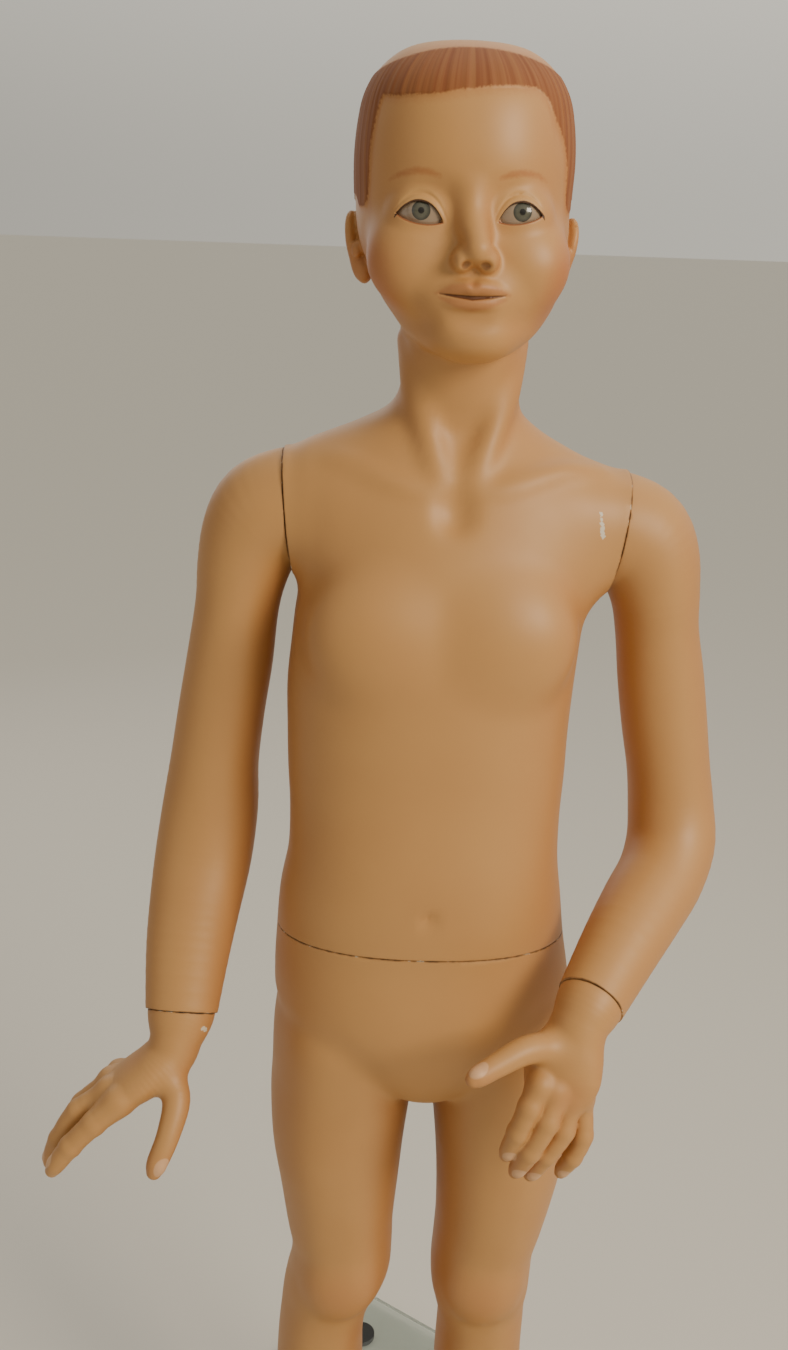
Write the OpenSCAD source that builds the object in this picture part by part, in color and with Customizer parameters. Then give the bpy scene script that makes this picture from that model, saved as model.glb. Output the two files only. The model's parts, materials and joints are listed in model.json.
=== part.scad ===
// Child-size full body display mannequin on a glass base.
// It faces -Y and stands on Z = 0. +X is the figure's left side.
// Shells are hollow mouldings that come apart at the waist, shoulders and wrists.

/* [Shells] */
// Wall thickness of the moulded shells
wall = 4; // [3:0.5:5]
// Open line that each seam leaves between two shells
seam = 1.4; // [1.2:0.1:2]
// Points around the trunk's rings
trunk_points = 36; // [32:4:44]
// Points around the rings of a limb
limb_points = 24; // [16:2:26]

/* [Base] */
// Side of the square glass plate
base_side = 440; // [420:10:460]
// Radius of the plate's corners
base_corner = 18; // [8:1:30]
// Thickness of the glass
glass_t = 8; // [6:1:10]
// Turn of the plate against the figure's front
base_turn = -35; // [-45:5:-25]
// Height of the rubber pads under the glass
pad_h = 5; // [5:0.5:7]

/* [Support rod] */
// Diameter of the steel rod
rod_d = 10; // [8:1:10]
// Lean of the rod's upper part, which is the way the figure lifts off
rod_tilt = 20; // [18:1:22]
// Radius of the rod's bend
bend_r = 40; // [30:5:50]
// Depth of the socket in the calf
calf_depth = 70; // [60:5:75]

/* [Fittings] */
// Thickness of the closing boards at the waist
board_t = 12; // [10:1:15]
// Side of the square peg at the waist
waist_square = 20; // [16:1:22]
// Side of the square peg at each shoulder
shoulder_square = 14; // [12:1:16]
// Side of the square peg at each wrist
wrist_square = 8; // [7:0.5:9]
// Clearance on each side of a peg or journal
fit = 0.05; // [0.03:0.01:0.08]

/* [Hidden] */
$fn = 48;

right = 0;
left = 1;
paint = [0.80, 0.58, 0.42];
steel = [0.72, 0.73, 0.75];
board_colour = [0.76, 0.62, 0.42];
rubber = [0.12, 0.12, 0.13];
glass = [0.72, 0.86, 0.80, 0.45];

// ---- Seams: a point on each, and the turns that take +Z to its outward axis ----
waist_at = [0, 0, 656];
waist_turn = [-8, 0, 0];
shoulder_at = [[-97, 5, 933], [104, 5, 925]];
shoulder_turn = [[0, 95, 180], [0, 97.6, 0]];
wrist_at = [[-161, -40, 604], [97, -90, 651]];
wrist_turn = [[0, 150, -95], [0, 115, -122]];

module at_waist() { translate(waist_at) rotate(waist_turn) children(); }
module at_shoulder(side) { translate(shoulder_at[side]) rotate(shoulder_turn[side]) children(); }
module at_wrist(side) { translate(wrist_at[side]) rotate(wrist_turn[side]) children(); }

// ---- Stations of the body. Level rings: height, centre x, half width, front y, back y ----
ground = pad_h + glass_t + 0.3;
crown_z = 1194;
trunk = [
  [548, 0, 74, -58, 74], [570, 0, 99, -69, 90], [593, -2, 102.4, -74, 91],
  [623, -4, 99, -75, 84], [654, -6, 95.5, -75, 75], [684, -7, 92.2, -76, 68],
  [713, -6.5, 87.6, -76, 65], [742, -6.5, 87, -74, 67], [770, -6.7, 88.4, -73, 71],
  [798, -6.9, 89, -74, 76], [825, -6.4, 89.8, -75, 80], [851, -4.4, 89.5, -75, 82],
  [877, -2, 89, -72, 82], [905, 1, 86, -64, 79], [930, 2, 80, -53, 71],
  [952, 1, 72, -42, 60], [970, -4, 62, -33, 52], [984, -2, 50, -29, 45],
  [994, 1, 40, -30, 40], [1004, 3, 35.5, -33, 37], [1016, 3.5, 34.2, -36, 34],
  [1030, 4, 34, -40, 32], [1050, 4, 34, -42, 34]
];
head = [
  [1029, 6, 15, -60, -34], [1033, 6, 25, -64, -10], [1040, 6, 35, -68, 14],
  [1049, 6, 43, -70, 40], [1060, 5, 50, -72, 58], [1075, 3, 55, -73, 72],
  [1092, 1, 59.5, -73, 82], [1112, 0, 60.5, -74, 88], [1134, 0, 61, -76, 91],
  [1154, 0, 59, -73, 88], [1168, 0, 55, -66, 81], [1180, 0, 47, -52, 70],
  [1189, 0, 34, -33, 54], [crown_z, 0, 14, -5, 30]
];

// Leg rings: height, centre x right, centre x left, half width, front y, back y
leg = [
  [620, -50, 50, 46, -60, 72], [585, -53, 53, 50, -67, 84], [548, -55, 55, 49.5, -67, 84],
  [524, -56, 56.5, 49, -66, 78], [491, -56.8, 57.5, 46.3, -64, 70], [457, -55.5, 56, 42.2, -60, 61],
  [422, -54.4, 53, 38.2, -54, 50], [400, -52.7, 50, 36.2, -50, 43], [380, -53.5, 49, 36.2, -48, 40],
  [362, -57.5, 49.5, 35.6, -44, 42], [345, -62, 50.5, 33.5, -38, 46], [325, -66.5, 51.5, 31.8, -35, 50],
  [300, -67.5, 52.5, 31.8, -34, 55], [265, -67.5, 53, 32.5, -32, 57], [230, -68, 53, 30.5, -29, 52],
  [190, -69, 53, 27, -25, 44], [150, -70, 54, 23.5, -21, 36], [112, -71, 54.5, 21, -19, 31],
  [88, -71, 55, 22.5, -24, 34]
];

// Foot rings in the foot's own frame under the ankle: height above ground, half width, front y, back y
foot = [[62, 24, -40, 38], [46, 26.5, -64, 42], [32, 30, -95, 46], [20, 33, -118, 49],
        [9, 34, -130, 50], [0, 31.5, -128, 47]];
ankle_x = [-71, 55];
toe_out = [-11, 9];

// Yoke rings lie across the shoulders: x, centre z, half depth, half height
yoke = [
  [-116, 935, 33, 35], [-97, 933, 34.5, 36], [-82, 931, 40, 44], [-62, 926, 48, 54],
  [-30, 922, 53, 60], [5, 918, 54, 62], [36, 920, 53, 60], [62, 921, 47, 54],
  [86, 922, 40, 44], [104, 925, 34.5, 36], [124, 927, 33, 35]
];
yoke_y = [5, 5, 6, 8, 10, 10, 10, 8, 6, 5, 5];

// Arm rings: centre, half width, half depth. The first and last lie beyond the seams
arm = [
  [
    [[-84, 5, 935], 34, 34], [[-97, 5, 933], 34.5, 34], [[-110, 6, 927], 34, 34],
    [[-119, 8, 913], 31.5, 33], [[-125, 9, 893], 28.5, 31], [[-129, 10, 868], 26.2, 29],
    [[-134, 13, 832], 27.3, 28], [[-140, 16, 796], 27.8, 28], [[-145, 18, 760], 28.8, 28],
    [[-148, 17, 727], 31.5, 29], [[-152, 9, 694], 32, 29], [[-156, -6, 665], 30, 27.5],
    [[-159, -21, 638], 27.5, 25], [[-161, -40, 604], 23.5, 21.5], [[-162, -49, 588], 21, 20]
  ],
  [
    [[91, 5, 927], 34, 34], [[104, 5, 925], 34.5, 34], [[117, 6, 919], 34, 34],
    [[126, 7, 905], 31, 33], [[132, 8, 884], 27.5, 30.5], [[136, 11, 860], 26, 28.5],
    [[142, 14, 828], 27.3, 28], [[148, 17, 796], 27.5, 28], [[154, 19, 765], 27, 28],
    [[158, 18, 738], 28, 29], [[159, 10, 714], 29, 30], [[151, -7, 697], 28, 29],
    [[137, -28, 685], 27, 28], [[119, -56, 671], 25, 25], [[97, -90, 651], 21.5, 21],
    [[88, -104, 643], 20, 20]
  ]
];

// Palm rings: centre, half width, half depth. The first lies beyond the wrist's seam
palm = [
  [
    [[-160, -33, 617], 21, 20], [[-161, -40, 604], 22, 20.5], [[-163, -47, 591], 17.5, 18.5],
    [[-167, -51, 579], 16.5, 19.5], [[-177, -54, 570], 15, 24], [[-190, -56, 561], 13.5, 26.5],
    [[-204, -56, 552], 11, 26], [[-211, -56, 547], 8, 23]
  ],
  [
    [[104, -79, 657], 20, 20], [[97, -90, 651], 20.5, 20.5], [[91, -98, 643], 18, 17.5],
    [[87, -103, 634], 18.5, 16], [[83, -108, 624], 22, 14.5], [[80, -112, 614], 23.5, 12.5],
    [[79, -114, 603], 22, 10.5], [[78, -115, 596], 18, 8]
  ]
];
// Turn of each palm about its own length, which sets the line of the knuckles
palm_turn = [5, 16];

// Fingers from the index to the little one, then the thumb: centre and radius of each ring
digits = [
  [
    [[[-196, -76, 557], 8], [[-212, -81, 545], 7.6], [[-227, -83, 529], 7], [[-236, -83, 516], 6],
     [[-241, -82, 508], 3]],
    [[[-204, -62, 556], 8], [[-225, -66, 543], 7.6], [[-238, -67, 522], 7], [[-244, -65, 507], 6],
     [[-246, -64, 500], 3]],
    [[[-206, -48, 554], 8], [[-226, -50, 537], 7.4], [[-239, -50, 515], 6.8], [[-245, -47, 500], 5.8],
     [[-247, -46, 493], 3]],
    [[[-203, -35, 551], 7.4], [[-219, -35, 535], 6.8], [[-230, -34, 519], 6.2], [[-236, -31, 506], 5.2],
     [[-239, -30, 500], 3]],
    [[[-168, -60, 572], 10], [[-160, -74, 560], 9], [[-163, -88, 544], 7.6], [[-169, -96, 529], 6.4],
     [[-172, -98, 522], 3]]
  ],
  [
    [[[66, -118, 612], 7.6], [[60, -125, 599], 7.2], [[54, -126, 582], 6.6], [[50, -122, 567], 5.8],
     [[48, -119, 560], 3]],
    [[[75, -118, 608], 7.6], [[71, -126, 590], 7.2], [[62, -126, 569], 6.8], [[57, -121, 554], 5.8],
     [[54, -118, 547], 3]],
    [[[84, -114, 603], 7.6], [[82, -121, 581], 7], [[73, -121, 563], 6.4], [[67, -116, 548], 5.6],
     [[64, -113, 541], 3]],
    [[[93, -109, 598], 7], [[95, -115, 573], 6.2], [[90, -115, 557], 5.8], [[86, -111, 546], 5],
     [[84, -109, 540], 3]],
    [[[78, -108, 630], 9.5], [[57, -119, 635], 8.6], [[38, -130, 631], 7.2], [[28, -136, 628], 6],
     [[23, -139, 627], 3]]
  ]
];
digit_points = 10;

// ---- Rings and lofts ----
function signed_power(v, p) = sign(v) * pow(abs(v), p);
function oval(n, rx, ry, power = 2.3) = [
  for (i = [0 : n - 1]) [rx * signed_power(cos(360 * i / n), 2 / power),
                         ry * signed_power(sin(360 * i / n), 2 / power), 0]
];
function turn_z(p, a) = [p.x * cos(a) - p.y * sin(a), p.x * sin(a) + p.y * cos(a), p.z];
function unit(v) = v / norm(v);
// Stands a flat ring square to a heading, with its depth kept towards +Y
function stood(ring, heading, centre) =
  let (d = unit(heading), v = unit([0, 1, 0] - d.y * d), u = cross(v, d))
    [for (p = ring) centre + p.x * u + p.y * v];
// A ring's heading runs from the station before it to the one after it
function heading(stations, i) =
  stations[min(i + 1, len(stations) - 1)][0] - stations[max(i - 1, 0)][0];

// A level ring that is grow mm larger than its station
function level_ring(n, z, x, half_w, front, back, grow) = [
  for (p = oval(n, half_w + grow, (back - front) / 2 + grow)) p + [x, (front + back) / 2, z]
];
// The height of a ring at a closed end moves with the surface, so that the wall goes over the end too
function end_shift(i, count, closed_low, closed_high, grow) =
  (closed_low && i == 0 ? -grow : 0) + (closed_high && i == count - 1 ? grow : 0);

module loft(rings) {
  n = len(rings[0]);
  last = len(rings) - 1;
  polyhedron(
    points = [for (r = rings) each r],
    faces = concat(
      [[for (i = [0 : n - 1]) i]],
      [for (j = [0 : last - 1]) for (i = [0 : n - 1])
        [j * n + i, (j + 1) * n + i, (j + 1) * n + (i + 1) % n, j * n + (i + 1) % n]],
      [[for (i = [n - 1 : -1 : 0]) last * n + i]]
    )
  );
}

function trunk_rings(grow) = [
  for (i = [0 : len(trunk) - 1]) let (s = trunk[i])
    level_ring(trunk_points, s[0] + end_shift(i, len(trunk), true, false, grow), s[1], s[2], s[3], s[4], grow)
];
function head_rings(grow) = [
  for (i = [0 : len(head) - 1]) let (s = head[i])
    level_ring(limb_points + 4, s[0] + end_shift(i, len(head), true, true, grow), s[1], s[2], s[3], s[4], grow)
];
function yoke_rings(grow) = [
  for (i = [0 : len(yoke) - 1]) let (s = yoke[i])
    [for (p = oval(limb_points, s[3] + grow, s[2] + grow)) [s[0], yoke_y[i] + p.y, s[1] - p.x]]
];
// Heights run upwards, so the leg's list is read from its foot
function foot_rings(side, grow) = [
  for (i = [len(foot) - 1 : -1 : 0]) let (s = foot[i], low = i == len(foot) - 1)
    [for (p = level_ring(limb_points, 0, 0, s[1], s[2], s[3], grow))
      turn_z(p, toe_out[side]) + [ankle_x[side], 0, ground + s[0] - (low ? grow : 0)]]
];
function shin_rings(side, grow) = [
  for (i = [len(leg) - 1 : -1 : 0]) let (s = leg[i])
    level_ring(limb_points, s[0], s[1 + side], s[3], s[4], s[5], grow)
];
function leg_rings(side, grow) = concat(foot_rings(side, grow), shin_rings(side, grow));
function arm_rings(side, grow) = [
  for (i = [0 : len(arm[side]) - 1]) let (s = arm[side][i])
    stood(oval(limb_points, s[1] + grow, s[2] + grow, 2.1), heading(arm[side], i), s[0])
];
function palm_rings(side) = [
  for (i = [0 : len(palm[side]) - 1]) let (s = palm[side][i])
    stood([for (p = oval(limb_points - 4, s[1], s[2], 2.2)) turn_z(p, palm_turn[side])],
          heading(palm[side], i), s[0])
];
function digit_rings(d) = [
  for (i = [0 : len(d) - 1]) stood(oval(digit_points, d[i][1], d[i][1], 2), heading(d, i), d[i][0])
];

module trunk_solid(grow) {
  loft(trunk_rings(grow));
}
module upper_solid(grow) {
  trunk_solid(grow);
  loft(head_rings(grow));
  loft(yoke_rings(grow));
}
module lower_solid(grow) {
  trunk_solid(grow);
  for (side = [right, left]) loft(leg_rings(side, grow));
}
module arm_solid(side, grow) { loft(arm_rings(side, grow)); }
module hand_solid(side) {
  loft(palm_rings(side));
  for (d = digits[side]) loft(digit_rings(d));
}

// A disc between two levels of a seam's axis, which cuts or keeps what lies there
trunk_clear = 450;
trunk_reach = 900;
module slab(low, high, r) { translate([0, 0, low]) cylinder(r = r, h = high - low); }

// How far a seam's cut reaches along its axis and across it
shoulder_reach = 40;
shoulder_clear = 44;
wrist_reach = 26;
wrist_clear = 30;

// The shells are worked out as meshes, so their surfaces stay smooth across unions
module as_mesh() { resize([0, 0, 0]) union() children(); }

// ---- Fittings: each is drawn on its seam, with +Z towards the piece that comes off ----
waist = [waist_square, 36, 3, 15, 46, 3.4, 26, 4];
shoulder = [shoulder_square, 24, 2.5, 11, 30, 2.6, 17, 3];
wrist = [wrist_square, 14.5, 2, 6.5, 20, 1.8, 10.4, 2];
function f_square(f) = f[0];
function f_plate_r(f) = f[1];
function f_plate_t(f) = f[2];
function f_tube_r(f) = f[3];
function f_depth(f) = f[4];
function f_screw_r(f) = f[5] / 2;
function f_screw_ring(f) = f[6];
function f_screws(f) = f[7];
function f_journal_r(f) = f_square(f) / 2 - 1;
collar_gap = 0.05;
plate_gap = 0.3;
screw_length = 7;

module around(f) {
  for (i = [0 : f_screws(f) - 1]) rotate([0, 0, 45 + 360 * i / f_screws(f)])
    translate([f_screw_ring(f), 0, 0]) children();
}
// Countersunk holes, wide side up
module screw_holes(f) {
  around(f) translate([0, 0, -f_plate_t(f) - 0.01])
    cylinder(r1 = f_screw_r(f) + 0.15, r2 = f_screw_r(f) * 2 + 0.15, h = f_plate_t(f) + 0.02);
}
// Plate and tube under z = 0, with a hole for the peg. The tube's hole is square or round
module fitting_plate(f, square_hole) {
  r = f_journal_r(f) + fit;
  s = f_square(f) + 2 * fit;
  deep = f_depth(f) + f_plate_t(f);
  difference() {
    union() {
      translate([0, 0, -f_plate_t(f)]) cylinder(r = f_plate_r(f), h = f_plate_t(f));
      translate([0, 0, -deep]) cylinder(r = f_tube_r(f), h = f_depth(f) + 1);
    }
    if (square_hole) translate([-s / 2, -s / 2, -deep - 1]) cube([s, s, deep + 2]);
    else translate([0, 0, -deep - 1]) cylinder(r = r, h = deep + 2);
    screw_holes(f);
  }
}
module lower_half() { translate([0, 0, -seam / 2]) children(); }
module upper_half() { translate([0, 0, seam / 2]) mirror([0, 0, 1]) children(); }
module fitting_screws(f) {
  around(f) {
    translate([0, 0, -f_plate_t(f)])
      cylinder(r1 = f_screw_r(f), r2 = f_screw_r(f) * 2 - 0.1, h = f_plate_t(f) - 0.2);
    translate([0, 0, -f_plate_t(f) - screw_length]) cylinder(r = f_screw_r(f), h = screw_length);
  }
}
// Room for the plate, its tube and its screws in a board or a solid hand
module fitting_room(f) {
  $fn = 28;
  translate([0, 0, -f_plate_t(f) - 0.02]) cylinder(r = f_plate_r(f) + plate_gap, h = 10);
  translate([0, 0, -f_depth(f) - f_plate_t(f) - plate_gap])
    cylinder(r = f_tube_r(f) + plate_gap, h = f_depth(f) + f_plate_t(f) + 2);
  around(f) translate([0, 0, -f_plate_t(f) - screw_length - plate_gap])
    cylinder(r = f_screw_r(f) + 0.1, h = screw_length + 5, $fn = 14);
}
module peg(f) {
  s = f_square(f);
  square_length = f_depth(f) * 0.9 + f_plate_t(f);
  round_length = f_depth(f) * 0.75 + f_plate_t(f);
  translate([-s / 2, -s / 2, -seam / 2 - square_length]) cube([s, s, square_length + seam / 2]);
  translate([0, 0, -seam / 2 + collar_gap]) cylinder(r = s / 2 + 3, h = seam - 2 * collar_gap);
  cylinder(r = f_journal_r(f), h = seam / 2 + round_length);
}

// ---- Base ----
rod_x = 53;
rod_y = 85;
mouth = [rod_x, 46, 185];
base_at = [6, 55];
pad_inset = 45;
glass_low = pad_h;
glass_top = pad_h + glass_t;
bolt_r = 5;
bolt_hole_r = 7;
bolt_head_r = 15;
bolt_head_t = 3;
washer_t = 0.8;
flange_r = 28;
flange_t = 5;
collar_r = 12;
flange_top = 46;
gasket_t = 1;
// Bending draws the rod out by this much
bend_draw = 0.03;
// The straight lengths run this far into the bend
bend_lap = 0.5;
rod_foot = 26;
bend_z = mouth.z - (rod_y - mouth.y) / tan(rod_tilt);
bend_reach = bend_r * tan(rod_tilt / 2);
mouth_reach = (rod_y - mouth.y) / sin(rod_tilt);

module at_base() { translate([base_at.x, base_at.y, 0]) rotate([0, 0, base_turn]) children(); }
module at_rod() { translate([rod_x, rod_y, 0]) children(); }

module base_glass() {
  color(glass) difference() {
    at_base() translate([0, 0, glass_low]) linear_extrude(glass_t) offset(r = base_corner, $fn = 64)
      square(base_side - 2 * base_corner, center = true);
    at_rod() translate([0, 0, glass_low - 1]) cylinder(r = bolt_hole_r, h = glass_t + 2);
  }
}
module base_pads() {
  far = base_side / 2 - pad_inset;
  color(rubber) at_base() {
    for (x = [-far, far]) for (y = [-far, far]) translate([x, y, 0]) cylinder(r = 14, h = pad_h);
  }
  color(rubber) cylinder(r = 16, h = pad_h);
}
module base_bolt() {
  low = glass_low - washer_t - bolt_head_t;
  color(steel) at_rod() {
    translate([0, 0, low]) cylinder(r = bolt_head_r, h = bolt_head_t);
    translate([0, 0, low + 0.5]) cylinder(r = bolt_r, h = rod_foot - low - 1);
  }
}
module ring(low, t, outer, inner) {
  at_rod() translate([0, 0, low]) difference() {
    cylinder(r = outer, h = t);
    translate([0, 0, -1]) cylinder(r = inner, h = t + 2);
  }
}
module base_bolt_washer() { color(rubber) ring(glass_low - washer_t, washer_t, bolt_head_r, bolt_hole_r); }
module flange_gasket() { color(rubber) ring(glass_top, gasket_t, flange_r, bolt_hole_r); }
set_screw_z = 37;
set_screw_r = 3;
module base_flange() {
  low = glass_top + gasket_t;
  color(steel) difference() {
    at_rod() {
      translate([0, 0, low]) cylinder(r1 = flange_r, r2 = flange_r - 2, h = flange_t);
      translate([0, 0, low]) cylinder(r = collar_r, h = flange_top - low);
    }
    at_rod() translate([0, 0, low - 1]) cylinder(r = rod_d / 2 + fit, h = flange_top);
    at_rod() translate([0, 0, set_screw_z]) rotate([-90, 0, 0]) cylinder(r = set_screw_r + fit, h = 20);
  }
}
module flange_set_screw() {
  color(steel) at_rod() translate([0, 0, set_screw_z]) rotate([-90, 0, 0]) difference() {
    translate([0, 0, rod_d / 2 + 0.1]) cylinder(r = set_screw_r, h = collar_r - rod_d / 2 + 1);
    translate([0, 0, collar_r - 1]) cylinder(r = 1.7, h = 5, $fn = 6);
  }
}
module support_rod() {
  color(steel) {
    at_rod() translate([0, 0, rod_foot])
      cylinder(r = rod_d / 2, h = bend_z - bend_reach - rod_foot + bend_lap);
    at_rod() translate([0, -bend_r, bend_z - bend_reach]) rotate([90, 0, 90])
      rotate_extrude(angle = rod_tilt) translate([bend_r, 0]) circle(r = rod_d / 2 - bend_draw);
    translate(mouth) rotate([rod_tilt, 0, 0]) translate([0, 0, bend_reach - mouth_reach - bend_lap])
      cylinder(r = rod_d / 2, h = mouth_reach - bend_reach + bend_lap + calf_depth);
  }
}

// ---- Lower body ----
socket_r = 8;
module at_calf() { translate(mouth) rotate([rod_tilt, 0, 0]) children(); }
module calf_tube(r, low, high) { at_calf() translate([0, 0, low]) cylinder(r = r, h = high - low); }

module lower_shell() {
  color(paint) as_mesh() difference() {
    lower_solid(0);
    lower_solid(-wall);
    at_waist() slab(-seam / 2, trunk_reach, trunk_clear);
    calf_tube(socket_r + plate_gap, -30, 40);
  }
}
module calf_socket() {
  cap_t = 3;
  color(steel) difference() {
    calf_tube(socket_r, 0, calf_depth + cap_t);
    calf_tube(rod_d / 2 + fit, -1, calf_depth);
  }
}
bulkhead_z = [212, 238];
bulkhead_t = 9;
module calf_bulkheads() {
  color(board_colour) as_mesh() for (z = bulkhead_z) difference() {
    intersection() {
      loft(leg_rings(left, -wall - plate_gap));
      translate([0, 0, z]) cylinder(r = 100, h = bulkhead_t);
    }
    calf_tube(socket_r + plate_gap, 0, calf_depth + 20);
  }
}
module lower_waist_board() {
  color(board_colour) as_mesh() difference() {
    intersection() {
      trunk_solid(-wall - plate_gap);
      at_waist() slab(-seam / 2 - board_t, -seam / 2, trunk_clear);
    }
    at_waist() lower_half() fitting_room(waist);
  }
}
module lower_waist_plate() { color(steel) at_waist() lower_half() fitting_plate(waist, true); }
module lower_waist_screws() { color(steel) at_waist() lower_half() fitting_screws(waist); }

// ---- Waist post ----
module waist_post() { color(steel) at_waist() peg(waist); }

// ---- Torso ----
module torso_shell() {
  color(paint) as_mesh() difference() {
    upper_solid(0);
    upper_solid(-wall);
    at_waist() slab(-trunk_reach, seam / 2, trunk_clear);
    for (side = [right, left]) at_shoulder(side) slab(-seam / 2, shoulder_reach, shoulder_clear);
  }
}
module upper_waist_board() {
  color(board_colour) as_mesh() difference() {
    intersection() {
      trunk_solid(-wall - plate_gap);
      at_waist() slab(seam / 2, seam / 2 + board_t, trunk_clear);
    }
    at_waist() upper_half() fitting_room(waist);
  }
}
module upper_waist_plate() { color(steel) at_waist() upper_half() fitting_plate(waist, false); }
module upper_waist_screws() { color(steel) at_waist() upper_half() fitting_screws(waist); }

shoulder_board_t = 10;
module shoulder_board(side) {
  color(board_colour) as_mesh() difference() {
    intersection() {
      loft(yoke_rings(-wall - plate_gap));
      at_shoulder(side) slab(-seam / 2 - shoulder_board_t, -seam / 2, shoulder_clear);
    }
    at_shoulder(side) lower_half() fitting_room(shoulder);
  }
}
module right_shoulder_board() { shoulder_board(right); }
module left_shoulder_board() { shoulder_board(left); }
module shoulder_plate(side) { color(steel) at_shoulder(side) lower_half() fitting_plate(shoulder, true); }
module right_shoulder_plate() { shoulder_plate(right); }
module left_shoulder_plate() { shoulder_plate(left); }
module shoulder_screws(side) { color(steel) at_shoulder(side) lower_half() fitting_screws(shoulder); }
module right_shoulder_screws() { shoulder_screws(right); }
module left_shoulder_screws() { shoulder_screws(left); }

// ---- Arms ----
module arm_peg(side) { color(steel) at_shoulder(side) peg(shoulder); }
module right_arm_peg() { arm_peg(right); }
module left_arm_peg() { arm_peg(left); }
module arm_shell(side) {
  color(paint) as_mesh() difference() {
    arm_solid(side, 0);
    arm_solid(side, -wall);
    at_shoulder(side) slab(-shoulder_reach, seam / 2, shoulder_clear);
    at_wrist(side) slab(-seam / 2, wrist_reach, wrist_clear);
  }
}
module right_arm_shell() { arm_shell(right); }
module left_arm_shell() { arm_shell(left); }
module arm_board(side) {
  color(board_colour) as_mesh() difference() {
    intersection() {
      arm_solid(side, -wall - plate_gap);
      at_shoulder(side) slab(seam / 2, seam / 2 + shoulder_board_t, shoulder_clear);
    }
    at_shoulder(side) upper_half() fitting_room(shoulder);
  }
}
module right_arm_board() { arm_board(right); }
module left_arm_board() { arm_board(left); }
module arm_plate(side) { color(steel) at_shoulder(side) upper_half() fitting_plate(shoulder, false); }
module right_arm_plate() { arm_plate(right); }
module left_arm_plate() { arm_plate(left); }
module arm_screws(side) { color(steel) at_shoulder(side) upper_half() fitting_screws(shoulder); }
module right_arm_screws() { arm_screws(right); }
module left_arm_screws() { arm_screws(left); }

// ---- Wrists ----
wrist_board_t = 8;
module wrist_board(side) {
  color(board_colour) as_mesh() difference() {
    intersection() {
      arm_solid(side, -wall - plate_gap);
      at_wrist(side) slab(-seam / 2 - wrist_board_t, -seam / 2, wrist_clear);
    }
    at_wrist(side) lower_half() fitting_room(wrist);
  }
}
module right_wrist_board() { wrist_board(right); }
module left_wrist_board() { wrist_board(left); }
module wrist_plate(side) { color(steel) at_wrist(side) lower_half() fitting_plate(wrist, true); }
module right_wrist_plate() { wrist_plate(right); }
module left_wrist_plate() { wrist_plate(left); }
module wrist_screws(side) { color(steel) at_wrist(side) lower_half() fitting_screws(wrist); }
module right_wrist_screws() { wrist_screws(right); }
module left_wrist_screws() { wrist_screws(left); }
module hand_peg(side) { color(steel) at_wrist(side) peg(wrist); }
module right_hand_peg() { hand_peg(right); }
module left_hand_peg() { hand_peg(left); }

// ---- Hands: solid castings with a pocket for the fitting ----
module hand_shell(side) {
  color(paint) as_mesh() difference() {
    hand_solid(side);
    at_wrist(side) slab(-wrist_reach, seam / 2, wrist_clear);
    at_wrist(side) upper_half() fitting_room(wrist);
  }
}
module right_hand_shell() { hand_shell(right); }
module left_hand_shell() { hand_shell(left); }
module hand_plate(side) { color(steel) at_wrist(side) upper_half() fitting_plate(wrist, false); }
module right_hand_plate() { hand_plate(right); }
module left_hand_plate() { hand_plate(left); }
module hand_screws(side) { color(steel) at_wrist(side) upper_half() fitting_screws(wrist); }
module right_hand_screws() { hand_screws(right); }
module left_hand_screws() { hand_screws(left); }

base_glass();
base_pads();
base_bolt();
base_bolt_washer();
flange_gasket();
base_flange();
flange_set_screw();
support_rod();
lower_shell();
calf_socket();
calf_bulkheads();
lower_waist_board();
lower_waist_plate();
lower_waist_screws();
waist_post();
torso_shell();
upper_waist_board();
upper_waist_plate();
upper_waist_screws();
right_shoulder_board();
right_shoulder_plate();
right_shoulder_screws();
left_shoulder_board();
left_shoulder_plate();
left_shoulder_screws();
right_arm_peg();
left_arm_peg();
right_arm_shell();
right_arm_board();
right_arm_plate();
right_arm_screws();
left_arm_shell();
left_arm_board();
left_arm_plate();
left_arm_screws();
right_wrist_board();
right_wrist_plate();
right_wrist_screws();
left_wrist_board();
left_wrist_plate();
left_wrist_screws();
right_hand_peg();
left_hand_peg();
right_hand_shell();
right_hand_plate();
right_hand_screws();
left_hand_shell();
left_hand_plate();
left_hand_screws();
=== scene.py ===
# %% [markdown]
# # A child-size shop mannequin, finished around its CAD frame
# The frame gives every piece its place and every joint its axis. This lesson makes what a
# shopper sees: the smooth painted shells, the painted face, and the glass base.

# %% Load the frame
import json
import math

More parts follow.
